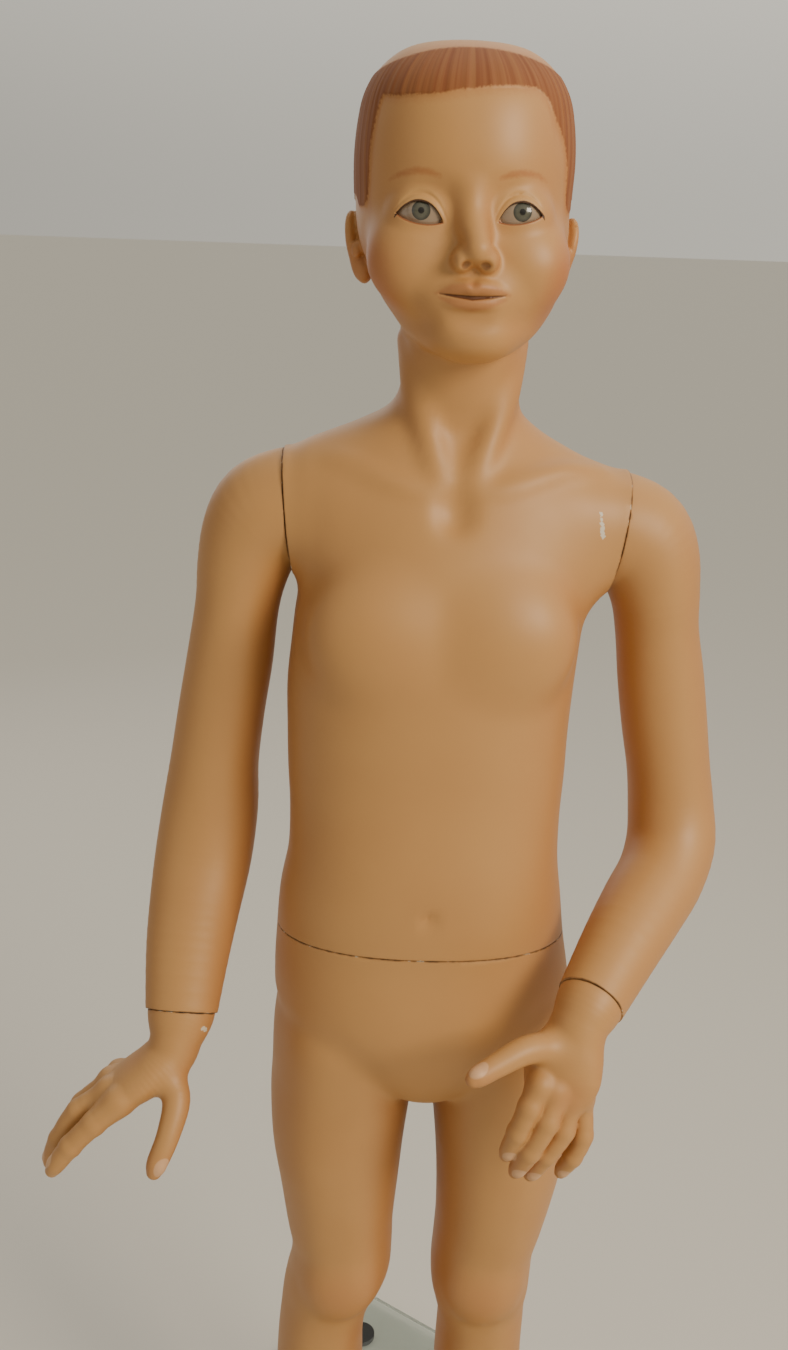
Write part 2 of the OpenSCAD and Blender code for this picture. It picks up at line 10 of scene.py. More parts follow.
import bmesh
import bpy
import numpy as np
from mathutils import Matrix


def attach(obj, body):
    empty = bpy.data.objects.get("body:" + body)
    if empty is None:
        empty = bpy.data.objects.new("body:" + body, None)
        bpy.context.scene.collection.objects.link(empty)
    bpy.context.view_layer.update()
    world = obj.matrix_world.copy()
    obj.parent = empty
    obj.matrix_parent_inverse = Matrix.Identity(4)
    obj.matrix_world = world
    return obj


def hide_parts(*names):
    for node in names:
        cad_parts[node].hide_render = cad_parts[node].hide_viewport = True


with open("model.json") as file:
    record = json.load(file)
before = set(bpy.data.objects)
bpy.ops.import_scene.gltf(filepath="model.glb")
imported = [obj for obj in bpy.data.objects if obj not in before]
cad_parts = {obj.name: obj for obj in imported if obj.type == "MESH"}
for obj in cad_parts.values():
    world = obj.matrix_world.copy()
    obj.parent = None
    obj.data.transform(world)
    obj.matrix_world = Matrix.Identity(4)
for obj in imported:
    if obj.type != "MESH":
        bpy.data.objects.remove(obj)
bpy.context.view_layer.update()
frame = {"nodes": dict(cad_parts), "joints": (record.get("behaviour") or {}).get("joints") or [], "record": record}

import openvdb
from mathutils import Matrix, Vector

# %% [markdown]
# ## Small helpers
# Body shapes are worked out in millimetres, because that is how a sculptor's callipers read.
# Colours are written as sRGB hex values, as on a paint card, and one function turns them into the
# linear values that a shader needs. One more function adds any shader node.

# %% Units, colours and shader nodes
MM = 0.001


def paint_card(code):
    """An sRGB hex colour as a linear RGBA tuple."""
    parts = [int(code[i:i + 2], 16) / 255 for i in (1, 3, 5)]
    linear = [c / 12.92 if c <= 0.04045 else ((c + 0.055) / 1.055) ** 2.4 for c in parts]
    return (*linear, 1.0)


def add_node(tree, kind, inputs=None, **settings):
    """Adds a shader node. A value in inputs is a number, a colour, or a socket to link from."""
    node = tree.nodes.new("ShaderNode" + kind)
    for name, value in settings.items():
        setattr(node, name, value)
    for name, value in (inputs or {}).items():
        if isinstance(value, bpy.types.NodeSocket):
            tree.links.new(value, node.inputs[name])
        else:
            node.inputs[name].default_value = value
    return node


def new_material(name):
    """A material with an empty tree that holds one surface shader, and the tree and that shader."""
    material = bpy.data.materials.new(name)
    material.use_nodes = True
    tree = material.node_tree
    tree.nodes.clear()
    surface = add_node(tree, "BsdfPrincipled")
    add_node(tree, "OutputMaterial", {"Surface": surface.outputs["BSDF"]})
    return material, tree, surface


print("a mid grey card is", [round(c, 3) for c in paint_card("#808080")], "in linear values")


# %% [markdown]
# ## Camera, floor and light
# The camera stands close in, about as high as the figure's face, and looks down a little. The floor
# is plain and pale. One broad soft light from the upper right shapes the chest and the cheek, and a
# weak one from the left keeps the shadows open. The sky around the studio is brighter on the side of
# the main light, as a room is near its window, and it dims towards the floor, so that the far edge of
# the floor hardly shows. Even light from all sides would be simpler, but would flatten the modelling.

# %% Camera
camera_data = bpy.data.cameras.new("camera")
camera = bpy.data.objects.new("camera", camera_data)
bpy.context.scene.collection.objects.link(camera)
bpy.context.scene.camera = camera
camera_data.sensor_fit = "VERTICAL"
camera_data.sensor_height = 36
camera_data.lens = 36
camera_data.clip_start = 0.05

eye_point = Vector((-36.5, -808.6, 1098.9)) * MM
pitch, yaw, roll = math.radians(18.57), math.radians(-0.52), math.radians(2.01)
level_right = Vector((math.cos(yaw), math.sin(yaw), 0))
level_ahead = Vector((-math.sin(yaw), math.cos(yaw), 0))
ahead = level_ahead * math.cos(pitch) - Vector((0, 0, math.sin(pitch)))
upright = Vector((0, 0, math.cos(pitch))) + level_ahead * math.sin(pitch)
side = level_right * math.cos(roll) + upright * math.sin(roll)
top = upright * math.cos(roll) - level_right * math.sin(roll)
turned = Matrix((side, top, -ahead)).transposed().to_4x4()
camera.matrix_world = Matrix.Translation(eye_point) @ turned
print("camera at", tuple(round(c, 3) for c in eye_point))

# %% Floor
HALF_FLOOR = 60.0
floor_mesh = bpy.data.meshes.new("floor")
floor_mesh.from_pydata(
    [(-HALF_FLOOR, -HALF_FLOOR, 0), (HALF_FLOOR, -HALF_FLOOR, 0),
     (HALF_FLOOR, HALF_FLOOR, 0), (-HALF_FLOOR, HALF_FLOOR, 0)], [], [(0, 1, 2, 3)])
floor = bpy.data.objects.new("floor", floor_mesh)
bpy.context.scene.collection.objects.link(floor)
floor_paint, tree, surface = new_material("pale_floor")
surface.inputs["Base Color"].default_value = paint_card("#cfcac0")
surface.inputs["Roughness"].default_value = 0.8
floor_mesh.materials.append(floor_paint)
print("floor is", 2 * HALF_FLOOR, "m across")

# %% The studio around it
TOWARDS_WINDOW = (0.8, 0.5, 0.25)
DARK_SIDE, WINDOW_SIDE = 0.38, 1.25
AT_THE_FLOOR, DIM_UP_TO = 0.66, 0.3
world = bpy.data.worlds.new("studio")
bpy.context.scene.world = world
world.use_nodes = True
tree = world.node_tree
backdrop = tree.nodes["Background"]
backdrop.inputs["Color"].default_value = paint_card("#e4dfd2")
look = add_node(tree, "TexCoord").outputs["Generated"]
facing = add_node(tree, "VectorMath", {0: look, 1: TOWARDS_WINDOW}, operation="DOT_PRODUCT")
glow = add_node(tree, "MapRange", {"Value": facing.outputs["Value"], "From Min": -0.8, "From Max": 0.8,
                                   "To Min": DARK_SIDE, "To Max": WINDOW_SIDE}).outputs["Result"]
height = add_node(tree, "SeparateXYZ", {"Vector": look}).outputs["Z"]
dimmed = add_node(tree, "MapRange", {"Value": height, "From Max": DIM_UP_TO, "To Min": AT_THE_FLOOR},
                  interpolation_type="SMOOTHSTEP").outputs["Result"]
strength = add_node(tree, "Math", {0: glow, 1: dimmed}, operation="MULTIPLY").outputs[0]
tree.links.new(strength, backdrop.inputs["Strength"])
print("studio from", DARK_SIDE, "to", WINDOW_SIDE, "times as bright as its card")

# %% Soft lights
LIGHTS = {
    # name: place and target in metres, size in metres, watts, colour
    "key_light": ((1.5, -1.5, 1.9), (0, 0, 0.85), 0.9, 42, "#fff0dc"),
    "fill_light": ((-1.9, -1.2, 1.3), (0, 0, 0.7), 1.4, 2, "#f2f4ff"),
    "top_light": ((0.1, 0.6, 2.3), (0, 0, 1.0), 1.2, 4, "#ffffff"),
    "back_light": ((-1.0, 1.9, 1.5), (0, 0, 0.8), 1.4, 5, "#ffffff")}
for name, (place, target, size, watts, colour) in LIGHTS.items():
    light = bpy.data.lights.new(name, "AREA")
    light.size = size
    light.energy = watts
    light.color = paint_card(colour)[:3]
    lamp = bpy.data.objects.new(name, light)
    lamp.location = place
    lamp.rotation_euler = (Vector(target) - Vector(place)).to_track_quat("-Z", "Y").to_euler()
    bpy.context.scene.collection.objects.link(lamp)
print("soft lights:", ", ".join(LIGHTS))

# %% [markdown]
# ## Sculpting with distances
# A mannequin starts as clay: round masses pressed together until no join shows. A distance field
# does the same in code. Each mass is a function that says how far a point lies outside it, and a
# smooth minimum presses two masses together with a fillet of a chosen width. Meshes with modifiers
# could make one limb each, but would show a crease at every join, so the field is the better clay.


# %% Pressing masses together and cutting them away
def press(a, b, fillet):
    """The smooth union of two fields, with a fillet of about this many millimetres."""
    h = np.clip(0.5 + 0.5 * (b - a) / fillet, 0, 1)
    return b + (a - b) * h - fillet * h * (1 - h)


def scoop(a, b, fillet):
    """Field a with the mass b taken out of it."""
    return -press(-a, b, fillet)


print("two masses 1 mm away press to a skin", round(float(press(np.ones(1), np.ones(1), 4)[0]), 2), "mm away")


# %% Smooth lines through stations
def eased(stations, count):
    """More stations along the same line, on smooth curves through the given ones."""
    s = np.array(stations, float)
    at = np.arange(len(s))
    slope = np.gradient(s, axis=0)
    t = np.linspace(0, len(s) - 1, count)
    i = np.clip(t.astype(int), 0, len(s) - 2)
    u = (t - at[i])[:, None]
    keep = 2 * u ** 3 - 3 * u ** 2 + 1
    lead = u ** 3 - 2 * u ** 2 + u
    trail = u ** 3 - u ** 2
    return keep * s[i] + (1 - keep) * s[i + 1] + lead * slope[i] + trail * slope[i + 1]


# %% The masses: a column of level rings, a tube along a line, and an egg
OVAL_POWER = 2.3


def column(p, rings, close=8):
    """Level ovals stacked upwards. A ring is height, centre x, half width, front y, back y.

    A power above 2 makes the ovals a little squarer than ellipses, as a body's are."""
    r = eased(rings, 240)
    r = r[np.argsort(r[:, 0])]
    x0, half_w, front, back = (np.interp(p[:, 2], r[:, 0], r[:, k]) for k in (1, 2, 3, 4))
    half_d = (back - front) / 2
    across = np.abs(p[:, 0] - x0) / half_w
    along = np.abs(p[:, 1] - (front + back) / 2) / half_d
    round_ = (across ** OVAL_POWER + along ** OVAL_POWER) ** (1 / OVAL_POWER)
    field = (round_ - 1) * np.minimum(half_w, half_d)
    ends = np.maximum(r[0, 0] - p[:, 2], p[:, 2] - r[-1, 0])
    return -press(-field, -ends, close)


def tube(p, stations, count=28, turn=0):
    """Ovals along a line. A station is x, y, z, half width, and half depth towards +Y.

    turn rolls the ovals about the line, in degrees."""
    s = eased(stations, count)
    cos_turn, sin_turn = math.cos(math.radians(turn)), math.sin(math.radians(turn))
    best = np.full(len(p), 1e6)
    for a, b in zip(s[:-1], s[1:]):
        line = b[:3] - a[:3]
        length = np.linalg.norm(line)
        d = line / length
        t = np.clip((p - a[:3]) @ d / length, 0, 1)
        off = p - a[:3] - t[:, None] * line
        v = np.array([0, 1, 0]) - d[1] * d
        v /= np.linalg.norm(v)
        u = np.cross(v, d)
        u, v = u * cos_turn + v * sin_turn, v * cos_turn - u * sin_turn
        ru = a[3] + t * (b[3] - a[3])
        rv = a[4] + t * (b[4] - a[4])
        small = np.minimum(ru, rv)
        round_ = np.sqrt((off @ u / ru) ** 2 + (off @ v / rv) ** 2 + (off @ d / small) ** 2)
        best = np.minimum(best, (round_ - 1) * small)
    return best


def rod(p, stations, count=16):
    """A round tube. A station is x, y, z and radius."""
    s = eased(stations, count)
    best = np.full(len(p), 1e6)
    for a, b in zip(s[:-1], s[1:]):
        line = b[:3] - a[:3]
        t = np.clip((p - a[:3]) @ line / max(line @ line, 1e-9), 0, 1)
        off = p - a[:3] - t[:, None] * line
        best = np.minimum(best, np.linalg.norm(off, axis=1) - (a[3] + t * (b[3] - a[3])))
    return best


def egg(p, centre, radii, turn=(0, 0, 0)):
    """An ellipsoid. turn holds three angles in degrees, about X, then Y, then Z."""
    q = p - np.array(centre, float)
    if any(turn):
        spin = np.eye(3)
        for axis, angle in zip("XYZ", turn):
            spin = np.array(Matrix.Rotation(math.radians(angle), 3, axis)) @ spin
        q = q @ spin
    r = np.array(radii, float)
    size = np.linalg.norm(q / r, axis=1)
    slope = np.linalg.norm(q / r ** 2, axis=1)
    return size * (size - 1) / np.maximum(slope, 1e-6)


print("a 10 mm egg's tip is", egg(np.array([[0, 0, 10.0]]), (0, 0, 0), (6, 6, 10))[0], "mm from its skin")

# %% [markdown]
# ## Seams
# The shells part on five planes. Each plane has a point and an outward axis, which are those of the
# joints in the frame, so a visible shell opens exactly where its fitting does.

# %% Seam planes from the joints
joint_named = {joint["name"]: joint for joint in frame["joints"]}


def seam_plane(joint):
    """The point, in mm, and the axis of a joint's seam."""
    return np.array(joint_named[joint]["pos_m"]) / MM, np.array(joint_named[joint]["axis"], float)


waist = seam_plane("waist_turn")
shoulder = {side: seam_plane(side + "_arm_swing") for side in ("right", "left")}
wrist = {side: seam_plane(side + "_hand_turn") for side in ("right", "left")}
print("waist seam at", waist[0].round(1), "and shoulders at", shoulder["right"][0], shoulder["left"][0])

# %% [markdown]
# ## From field to mesh
# The field is sampled on a coarse grid, and the surface is drawn through it. Then each vertex walks
# down the field's slope until it lies on the true surface, so the mesh is smoother than the grid.
# Where a shell has finer forms, such as the face, its faces are divided again, and the new vertices
# walk too.


# %% Sampling, walking and dividing
def walk(field, p, rounds=3, most=2.0, probe=0.1):
    """Moves points along the field's slope until the field is zero there."""
    for _ in range(rounds):
        value = field(p)
        slope = np.stack([field(p + probe * axis) - value for axis in np.eye(3)], axis=1) / probe
        move = (value / np.maximum((slope ** 2).sum(1), 0.1))[:, None] * slope
        length = np.linalg.norm(move, axis=1, keepdims=True)
        p = p - move * np.minimum(1, most / np.maximum(length, 1e-9))
    return p


def sample(field, low, high, step):
    """Points and quads of the field's surface inside a box, in mm.

    A coarse look finds the cells near the surface, and only those are worked out in full."""
    low, coarse = np.array(low, float), 3
    counts = coarse * np.ceil((np.array(high) - low) / step / coarse).astype(int)
    x, y, z = (low[k] + step * np.arange(counts[k]) for k in range(3))
    rough_axes = (axis[1::coarse] for axis in (x, y, z))
    rough_points = np.stack(np.meshgrid(*rough_axes, indexing="ij"), axis=-1)
    rough = field(rough_points.reshape(-1, 3)).reshape(counts // coarse)
    values = rough.repeat(coarse, 0).repeat(coarse, 1).repeat(coarse, 2)
    near = np.abs(values) < 2.2 * coarse * step
    i, j, k = np.nonzero(near)
    values[near] = field(np.stack([x[i], y[j], z[k]], axis=1))
    values = values.astype(np.float32)
    band = 4 * step
    grid = openvdb.FloatGrid(float(band))
    grid.copyFromArray(np.clip(values, -band, band))
    points, quads = grid.convertToQuads(0.0)
    return points.astype(float) * step + low, [list(map(int, q)) for q in quads[:, ::-1]]


def divide(field, points, faces, inside):
    """Cuts each face whose centre lies inside a region into four. Their vertices ease and walk.

    The vertices outside the region stay where they are, which also keeps this quick."""
    mesh = bpy.data.meshes.new("clay")
    mesh.from_pydata(points.tolist(), [], faces)
    bm = bmesh.new()
    bm.from_mesh(mesh)
    centres = np.array([f.calc_center_median() for f in bm.faces])
    chosen = [f for f, keep in zip(bm.faces, inside(centres)) if keep]
    edges = list({e for f in chosen for e in f.edges})
    moving = {v for e in edges for v in e.verts}
    still = {v for v in bm.verts if v not in moving}
    bmesh.ops.subdivide_edges(bm, edges=edges, cuts=1, use_grid_fill=True)
    bmesh.ops.triangulate(bm, faces=[f for f in bm.faces if len(f.verts) > 4])
    bm.verts.index_update()
    points = np.array([v.co for v in bm.verts])
    faces = [[v.index for v in f.verts] for f in bm.faces]
    ends = np.array([[v.index for v in e.verts] for e in bm.edges])
    loose = np.array([v.index for v in bm.verts if v not in still])
    bm.free()
    bpy.data.meshes.remove(mesh)
    for _ in range(2):
        total, count = np.zeros_like(points), np.zeros(len(points))
        for a, b in (ends.T, ends.T[::-1]):
            np.add.at(total, a, points[b])
            np.add.at(count, a, 1)
        eased_points = 0.5 * points[loose] + 0.5 * total[loose] / count[loose, None]
        points[loose] = walk(field, eased_points, 1, 0.8)
    return points, faces


ball_points, ball_faces = sample(lambda p: egg(p, (0, 0, 0), (20, 20, 20)), (-26,) * 3, (26,) * 3, 4)
print("a 20 mm ball on a 4 mm grid has", len(ball_points), "points and", len(ball_faces), "quads")

# %% [markdown]
# ## Open ends
# A moulded shell is about 4 mm thick, and it shows that thickness when an arm is pulled off. Each
# seam is cut flat. The cut edge then gets a small round, the width of the wall, and a short inside.
# Two shells meet with a gap of half a millimetre, which, with a painted shade along it, draws the fine dark line
# of a seam.


# %% Cutting a shell on its seam
WALL = 4.0
SEAM_GAP = 0.5
EDGE_ROUND = 0.35
LIP_DEPTH = 12.0


def open_end(bm, plane, outward, reach):
    """Cuts away what lies past the plane within reach, and gives the edge its wall.

    outward is 1 where the shell ends in the direction of the seam's axis, and -1 where it starts."""
    point, axis = plane[0], plane[1] * outward
    cut_at = point - axis * (SEAM_GAP / 2 + EDGE_ROUND)
    near = [v for v in bm.verts if (Vector(point) - v.co).length < reach]
    faces = {f for v in near for f in v.link_faces}
    edges = {e for f in faces for e in f.edges}
    cut = bmesh.ops.bisect_plane(bm, geom=[*near, *edges, *faces], dist=1e-4,
                                 plane_co=cut_at, plane_no=axis, clear_outer=True)
    ring = [g for g in cut["geom_cut"] if isinstance(g, bmesh.types.BMEdge)]
    centre = Vector(np.mean([v.co for e in ring for v in e.verts], axis=0))
    along = Vector(axis)
    before = (0.0, 0.0)
    profile = ((0.1, 0.22), (EDGE_ROUND, EDGE_ROUND), (WALL, EDGE_ROUND), (WALL + 0.2, -LIP_DEPTH))
    for inset, lift in profile:
        grown = bmesh.ops.extrude_edge_only(bm, edges=ring)["geom"]
        ring = [g for g in grown if isinstance(g, bmesh.types.BMEdge)]
        for v in (g for g in grown if isinstance(g, bmesh.types.BMVert)):
            out = v.co - centre
            out -= along * out.dot(along)
            v.co += along * (lift - before[1]) - out.normalized() * (inset - before[0])
        before = (inset, lift)


print("a cut edge is rounded by", EDGE_ROUND, "mm and its wall is", WALL, "mm")


# %% A finished piece
def finish_piece(name, mesh, body, material, node=None):
    """Links a mesh as a piece that rides on a body, and may stand for a CAD node."""
    mesh.materials.append(material)
    piece = bpy.data.objects.new(name, mesh)
    bpy.context.scene.collection.objects.link(piece)
    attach(piece, body)
    if node:
        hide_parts(node)
    return piece


# %% Moulding a shell from its field
FAR_FROM_PAINT = -99.0
FAR_FROM_SEAM = 99
SHARP_EDGE = math.radians(50)


def mould(name, body, node, field, low, high, step, seams, dense, paint):
    """A painted shell: sampled, divided, cut at its seams and given its paint masks."""
    points, faces = sample(field, low, high, step)
    points = walk(field, points)
    for inside in dense:
        points, faces = divide(field, points, faces, inside)
    mesh = bpy.data.meshes.new(name)
    mesh.from_pydata(points.tolist(), [], faces)
    bm = bmesh.new()
    bm.from_mesh(mesh)
    for plane, outward, reach in seams:
        open_end(bm, plane, outward, reach)
    bmesh.ops.recalc_face_normals(bm, faces=bm.faces)
    bm.to_mesh(mesh)
    bm.free()
    p = np.array([v.co for v in mesh.vertices])
    normals = np.array([v.normal for v in mesh.vertices])
    masks = {**{row[0]: np.full(len(p), FAR_FROM_PAINT) for row in MASKS}, **paint(p, normals)}
    masks["seam_mm"] = np.min([np.where(np.linalg.norm(p - plane[0], axis=1) < reach,
                                        np.abs((p - plane[0]) @ plane[1]), FAR_FROM_SEAM)
                               for plane, outward, reach in seams], axis=0)
    for mask, values in masks.items():
        layer = mesh.attributes.new(mask, "FLOAT", "POINT")
        layer.data.foreach_set("value", np.asarray(values, np.float32))
    mesh.transform(Matrix.Scale(MM, 4))
    mesh.shade_smooth()
    mesh.set_sharp_from_angle(angle=SHARP_EDGE)
    finish_piece(name, mesh, body, shell_paint, node)
    print(f"{name}: {len(mesh.vertices)} vertices, {len(mesh.polygons)} faces")


# %% [markdown]
# ## The lower body
# Hips, legs and feet are one moulding on the real figure. The trunk is a stack of level ovals, and so
# is each leg. Their fillet is narrow, which leaves the soft crease between belly and thigh. The foot
# is a tube with a few eggs pressed on, because an oval stack would make a sock. The figure is a plain
# shop fixture, so the pelvis stays one smooth form.

# %% Stations of the trunk and the legs, in mm
TRUNK = [
    (542, 0, 20, -45, 50), (550, 0, 38, -56, 62), (565, 0, 60, -66, 78), (585, -1, 84, -74, 88),
    (605, -3, 98, -78, 88), (623, -4, 99, -78, 84), (654, -6, 95.5, -75, 75), (684, -7, 92.2, -76, 68),
    (713, -6.5, 87.6, -76, 65), (742, -6.5, 87, -74, 67), (770, -6.7, 88.4, -73, 71),
    (798, -6.9, 89, -74, 76), (825, -6.4, 89.8, -75, 80), (851, -4.4, 89.5, -75, 82),
    (877, -2, 89, -72, 82), (905, 1, 86, -64, 79), (930, 2, 80, -53, 71), (952, 1, 72, -42, 60),
    (970, -4, 62, -33, 52), (984, -2, 50, -29, 45), (994, 1, 40, -30, 40), (1004, 3, 35.5, -33, 37),
    (1016, 3.5, 34.2, -36, 34), (1030, 4, 34, -40, 32), (1050, 4, 34, -42, 34)]
LEG = [
    (620, 50, 46, -60, 72), (585, 53, 50, -67, 84), (548, 55, 49.5, -67, 84), (524, 56.3, 49, -66, 78),
    (491, 57.2, 46.3, -64, 70), (457, 55.8, 42.2, -60, 61), (422, 53.7, 38.2, -54, 50),
    (400, 51.4, 36.2, -50, 43), (380, 51.3, 36.2, -48, 40), (362, 53.5, 35.6, -44, 42),
    (345, 56.3, 33.5, -38, 46), (325, 59, 31.8, -35, 50), (300, 60, 31.8, -34, 55),
    (265, 60.3, 32.5, -32, 57), (230, 60.5, 30.5, -29, 52), (190, 61, 27, -25, 44),
    (150, 62, 23.5, -21, 36), (112, 62.8, 21, -19, 31), (88, 63, 22.5, -24, 34)]
LEG_SHIFT = {
    "right": ((620, 0), (457, 0), (400, -1.3), (380, -2.2), (345, -5.7), (300, -7.5), (88, -8)),
    "left": ((620, 0), (457, 0), (400, -1.4), (380, -2.3), (345, -5.8), (300, -7.5), (88, -8))}
SIDE = {"right": -1, "left": 1}
SOLE = 13.3
TOES_OUT = {"right": -11, "left": 9}
CALF_MOUTH = np.array([53, 46, 185.0])
ROD_SLANT = math.radians(20)
ROD_AXIS = np.array([0, -math.sin(ROD_SLANT), math.cos(ROD_SLANT)])
print("trunk of", len(TRUNK), "rings, legs of", len(LEG))


# %% The leg
def leg(p, side):
    """One leg, from the hip to the ankle. The shift carries the figure's slight lean."""
    heights, shifts = zip(*reversed(LEG_SHIFT[side]))
    rings = [(z, SIDE[side] * x + np.interp(z, heights, shifts), w, f, b) for z, x, w, f, b in LEG]
    field = column(p, rings, close=12)
    knee_x = SIDE[side] * 50 - 2
    field = press(field, egg(p, (knee_x, -36, 384), (21, 14, 24)), 14)
    return field


# %% The foot
FOOT_LINE = [(0, 8, 98, 22, 28), (0, 5, 72, 22, 29), (0, -6, 52, 24, 28), (0, -30, 38, 26, 24),
             (0, -58, 25, 29, 19), (-1, -84, 17, 32, 15)]
HEEL_CORD = [(0, 19, 110, 12), (0, 17, 80, 13), (0, 21, 50, 16), (0, 24, 30, 18)]
TOES = (  # x, y, half length and half width
    (-20, -108, 19, 11), (-3, -110, 17, 8), (9, -105, 16, 7.5), (20, -97, 15, 7), (29, -87, 13, 6.5))


def foot(p, side):
    """One bare foot. It is modelled toes forward, then turned out a little under its ankle."""
    s = SIDE[side]
    turn = math.radians(TOES_OUT[side])
    ankle_x = s * 63 - 8
    x, y = p[:, 0] - ankle_x, p[:, 1]
    q = np.stack([(x * math.cos(turn) + y * math.sin(turn)) * s,
                  y * math.cos(turn) - x * math.sin(turn), p[:, 2] - SOLE], axis=1)
    field = press(tube(q, FOOT_LINE, 16), rod(q, HEEL_CORD, 10), 12)
    field = press(field, egg(q, (0, 21, 24), (22, 23, 25)), 14)
    field = press(field, egg(q, (-23, 4, 62), (7, 9, 9)), 8)
    field = press(field, egg(q, (22, 8, 56), (7, 9, 9)), 8)
    toes = np.full(len(p), 1e3)
    for toe_x, toe_y, length, width in TOES:
        toes = np.minimum(toes, egg(q, (toe_x, toe_y, width), (width, length, width)))
    field = press(field, toes, 5)
    return -press(-field, q[:, 2], 3)


# %% The whole lower body
ROD_HOLE_R = 8.2


def lower_body(p):
    """Hips, seat, legs and feet, with the hole that takes the calf rod."""
    field = column(p, [ring for ring in TRUNK if ring[0] < 720])
    for s in (-1, 1):
        field = press(field, egg(p, (s * 46, 52, 578), (44, 40, 50)), 16)
    legs = {side: press(leg(p, side), foot(p, side), 10) for side in SIDE}
    field = press(field, press(legs["right"], legs["left"], 3), 5.5)
    bore = [(*(CALF_MOUTH + ROD_AXIS * at), ROD_HOLE_R) for at in (-25, 78)]
    return scoop(field, rod(p, bore, 2), 1)


# %% A brush line
def line_mm(p, line, half_widths):
    """How deep points lie inside a brush line seen from the front, in mm."""
    line, half = np.array(line, float), np.array(half_widths, float)
    flat = p[:, [0, 2]]
    best = np.full(len(p), FAR_FROM_PAINT)
    for a, b, wa, wb in zip(line[:-1], line[1:], half[:-1], half[1:]):
        t = np.clip((flat - a) @ (b - a) / ((b - a) @ (b - a)), 0, 1)
        away = np.linalg.norm(flat - a - t[:, None] * (b - a), axis=1)
        best = np.maximum(best, wa + t * (wb - wa) - away)
    return best


# %% Where the airbrush, the painted side shade and the wear go
# a flake is a line of x and z seen from the front, with its half widths
FLAKES = [(((88.2, 941), (90, 928)), (0.7, 1.3)), (((-144.8, 600.6), (-143.8, 598)), (1.3, 1.1))]
# a bony place is a point and the reach of the airbrush, in mm
BONY_PLACES = [
    ((-52, -50, 382), 40), ((48, -50, 382), 40), ((-150, 45, 735), 34),
    ((162, 30, 722), 36), ((-96, -110, 22), 40), ((75, -112, 22), 40),
    ((-243, -62, 502), 26), ((55, -118, 552), 26), ((-171, -96, 526), 20), ((26, -138, 627), 20),
    ((-186, -56, 572), 20), ((83, -124, 606), 20)]


def airbrush_side_shade_and_flakes(p, normals):
    """The masks that every shell has: painted shade on the sides, warmer bony places, and flakes."""
    # painted shade: surfaces that turn sideways, away from the front, get a darker, warmer tone
    sides = np.clip(np.abs(normals[:, 0]) * 1.25 - 0.35, 0, 1)
    joints = np.zeros(len(p))
    for centre, radius in BONY_PLACES:
        reach = np.linalg.norm(p - np.array(centre), axis=1) / radius
        joints = np.maximum(joints, np.clip(1 - reach, 0, 1))
    flakes = np.where(p[:, 1] < 0, np.maximum(*[line_mm(p, *flake) for flake in FLAKES]),
                      FAR_FROM_PAINT)
    return {"side_shade": sides, "blush": joints, "flake": flakes}


print("warm spots:", len(BONY_PLACES), "and flakes:", len(FLAKES))

# %% [markdown]
# ## The head
# The skull is an oval stack that ends in the flat crown of a crew cut. The face is pressed onto it
# mass by mass, large forms first: sockets, cheeks, muzzle, chin, nose, lids, lips, and then the ears.
# It leans a few millimetres to the figure's left as it goes down, so it isn't stiffly symmetrical.

# %% Skull and shoulders
HEAD = [
    (1029, 6, 15, -60, -34), (1033, 6, 25, -64, -10), (1040, 6, 35, -68, 14), (1049, 6, 43, -70, 40),
    (1060, 5, 50, -72, 58), (1075, 3, 55, -73, 72), (1092, 1, 59.5, -73, 82), (1112, 0, 60.5, -74, 88),
    (1134, 0, 61, -76, 91), (1154, 0, 59, -73, 88), (1168, 0, 55, -66, 81), (1180, 0, 47, -52, 70),
    (1189, 0, 34, -33, 54), (1194, 0, 14, -5, 30)]
YOKE = [
    (-116, 935, 35, -28, 38), (-97, 933, 36, -29.5, 39.5), (-82, 931, 44, -34, 46),
    (-62, 926, 54, -40, 56), (-30, 922, 60, -43, 63), (5, 918, 62, -44, 64), (36, 920, 60, -43, 63),
    (62, 921, 54, -39, 55), (86, 922, 44, -34, 46), (104, 925, 36, -29.5, 39.5),
    (124, 927, 35, -28, 38)]
EYES = {  # middle, half width, heights of the upper and lower arc, slant in degrees, middle of the iris
    "right": {"at": (-24.8, 1100.9), "half": 12.2, "up": 8.1, "down": 2.6, "slant": -8,
              "iris": (-24.2, 1104.7)},
    "left": {"at": (27.6, 1102.2), "half": 11.6, "up": 7.8, "down": 2.4, "slant": 9,
             "iris": (28.4, 1105.6)}}
EYEBALL = (17, 12.5, 13.5)
EYEBALL_Y = -57.5
EYES_OUTWARDS = 12
LID = 1.7
print("skull of", len(HEAD), "rings, lids", LID, "mm thick")


def eye_turn(side):
    """How far an eyeball is turned outwards, in degrees."""
    return SIDE[side] * EYES_OUTWARDS


def eye_centre(side):
    """The middle of an eyeball."""
    x, z = EYES[side]["iris"]
    return np.array([x - SIDE[side] * 1.5, EYEBALL_Y, z - 1])


def almond(p, side):
    """How far along an eye's slanted line, and above its upper and under its lower edge, points lie."""
    eye = EYES[side]
    slant = math.radians(eye["slant"])
    x, z = p[:, 0] - eye["at"][0], p[:, 2] - eye["at"][1]
    along = x * math.cos(slant) + z * math.sin(slant)
    height = z * math.cos(slant) - x * math.sin(slant)
    share = along / eye["half"]
    arch = 1 - np.abs(share) ** 2.2
    return along, height - eye["up"] * arch, -eye["down"] * arch - height


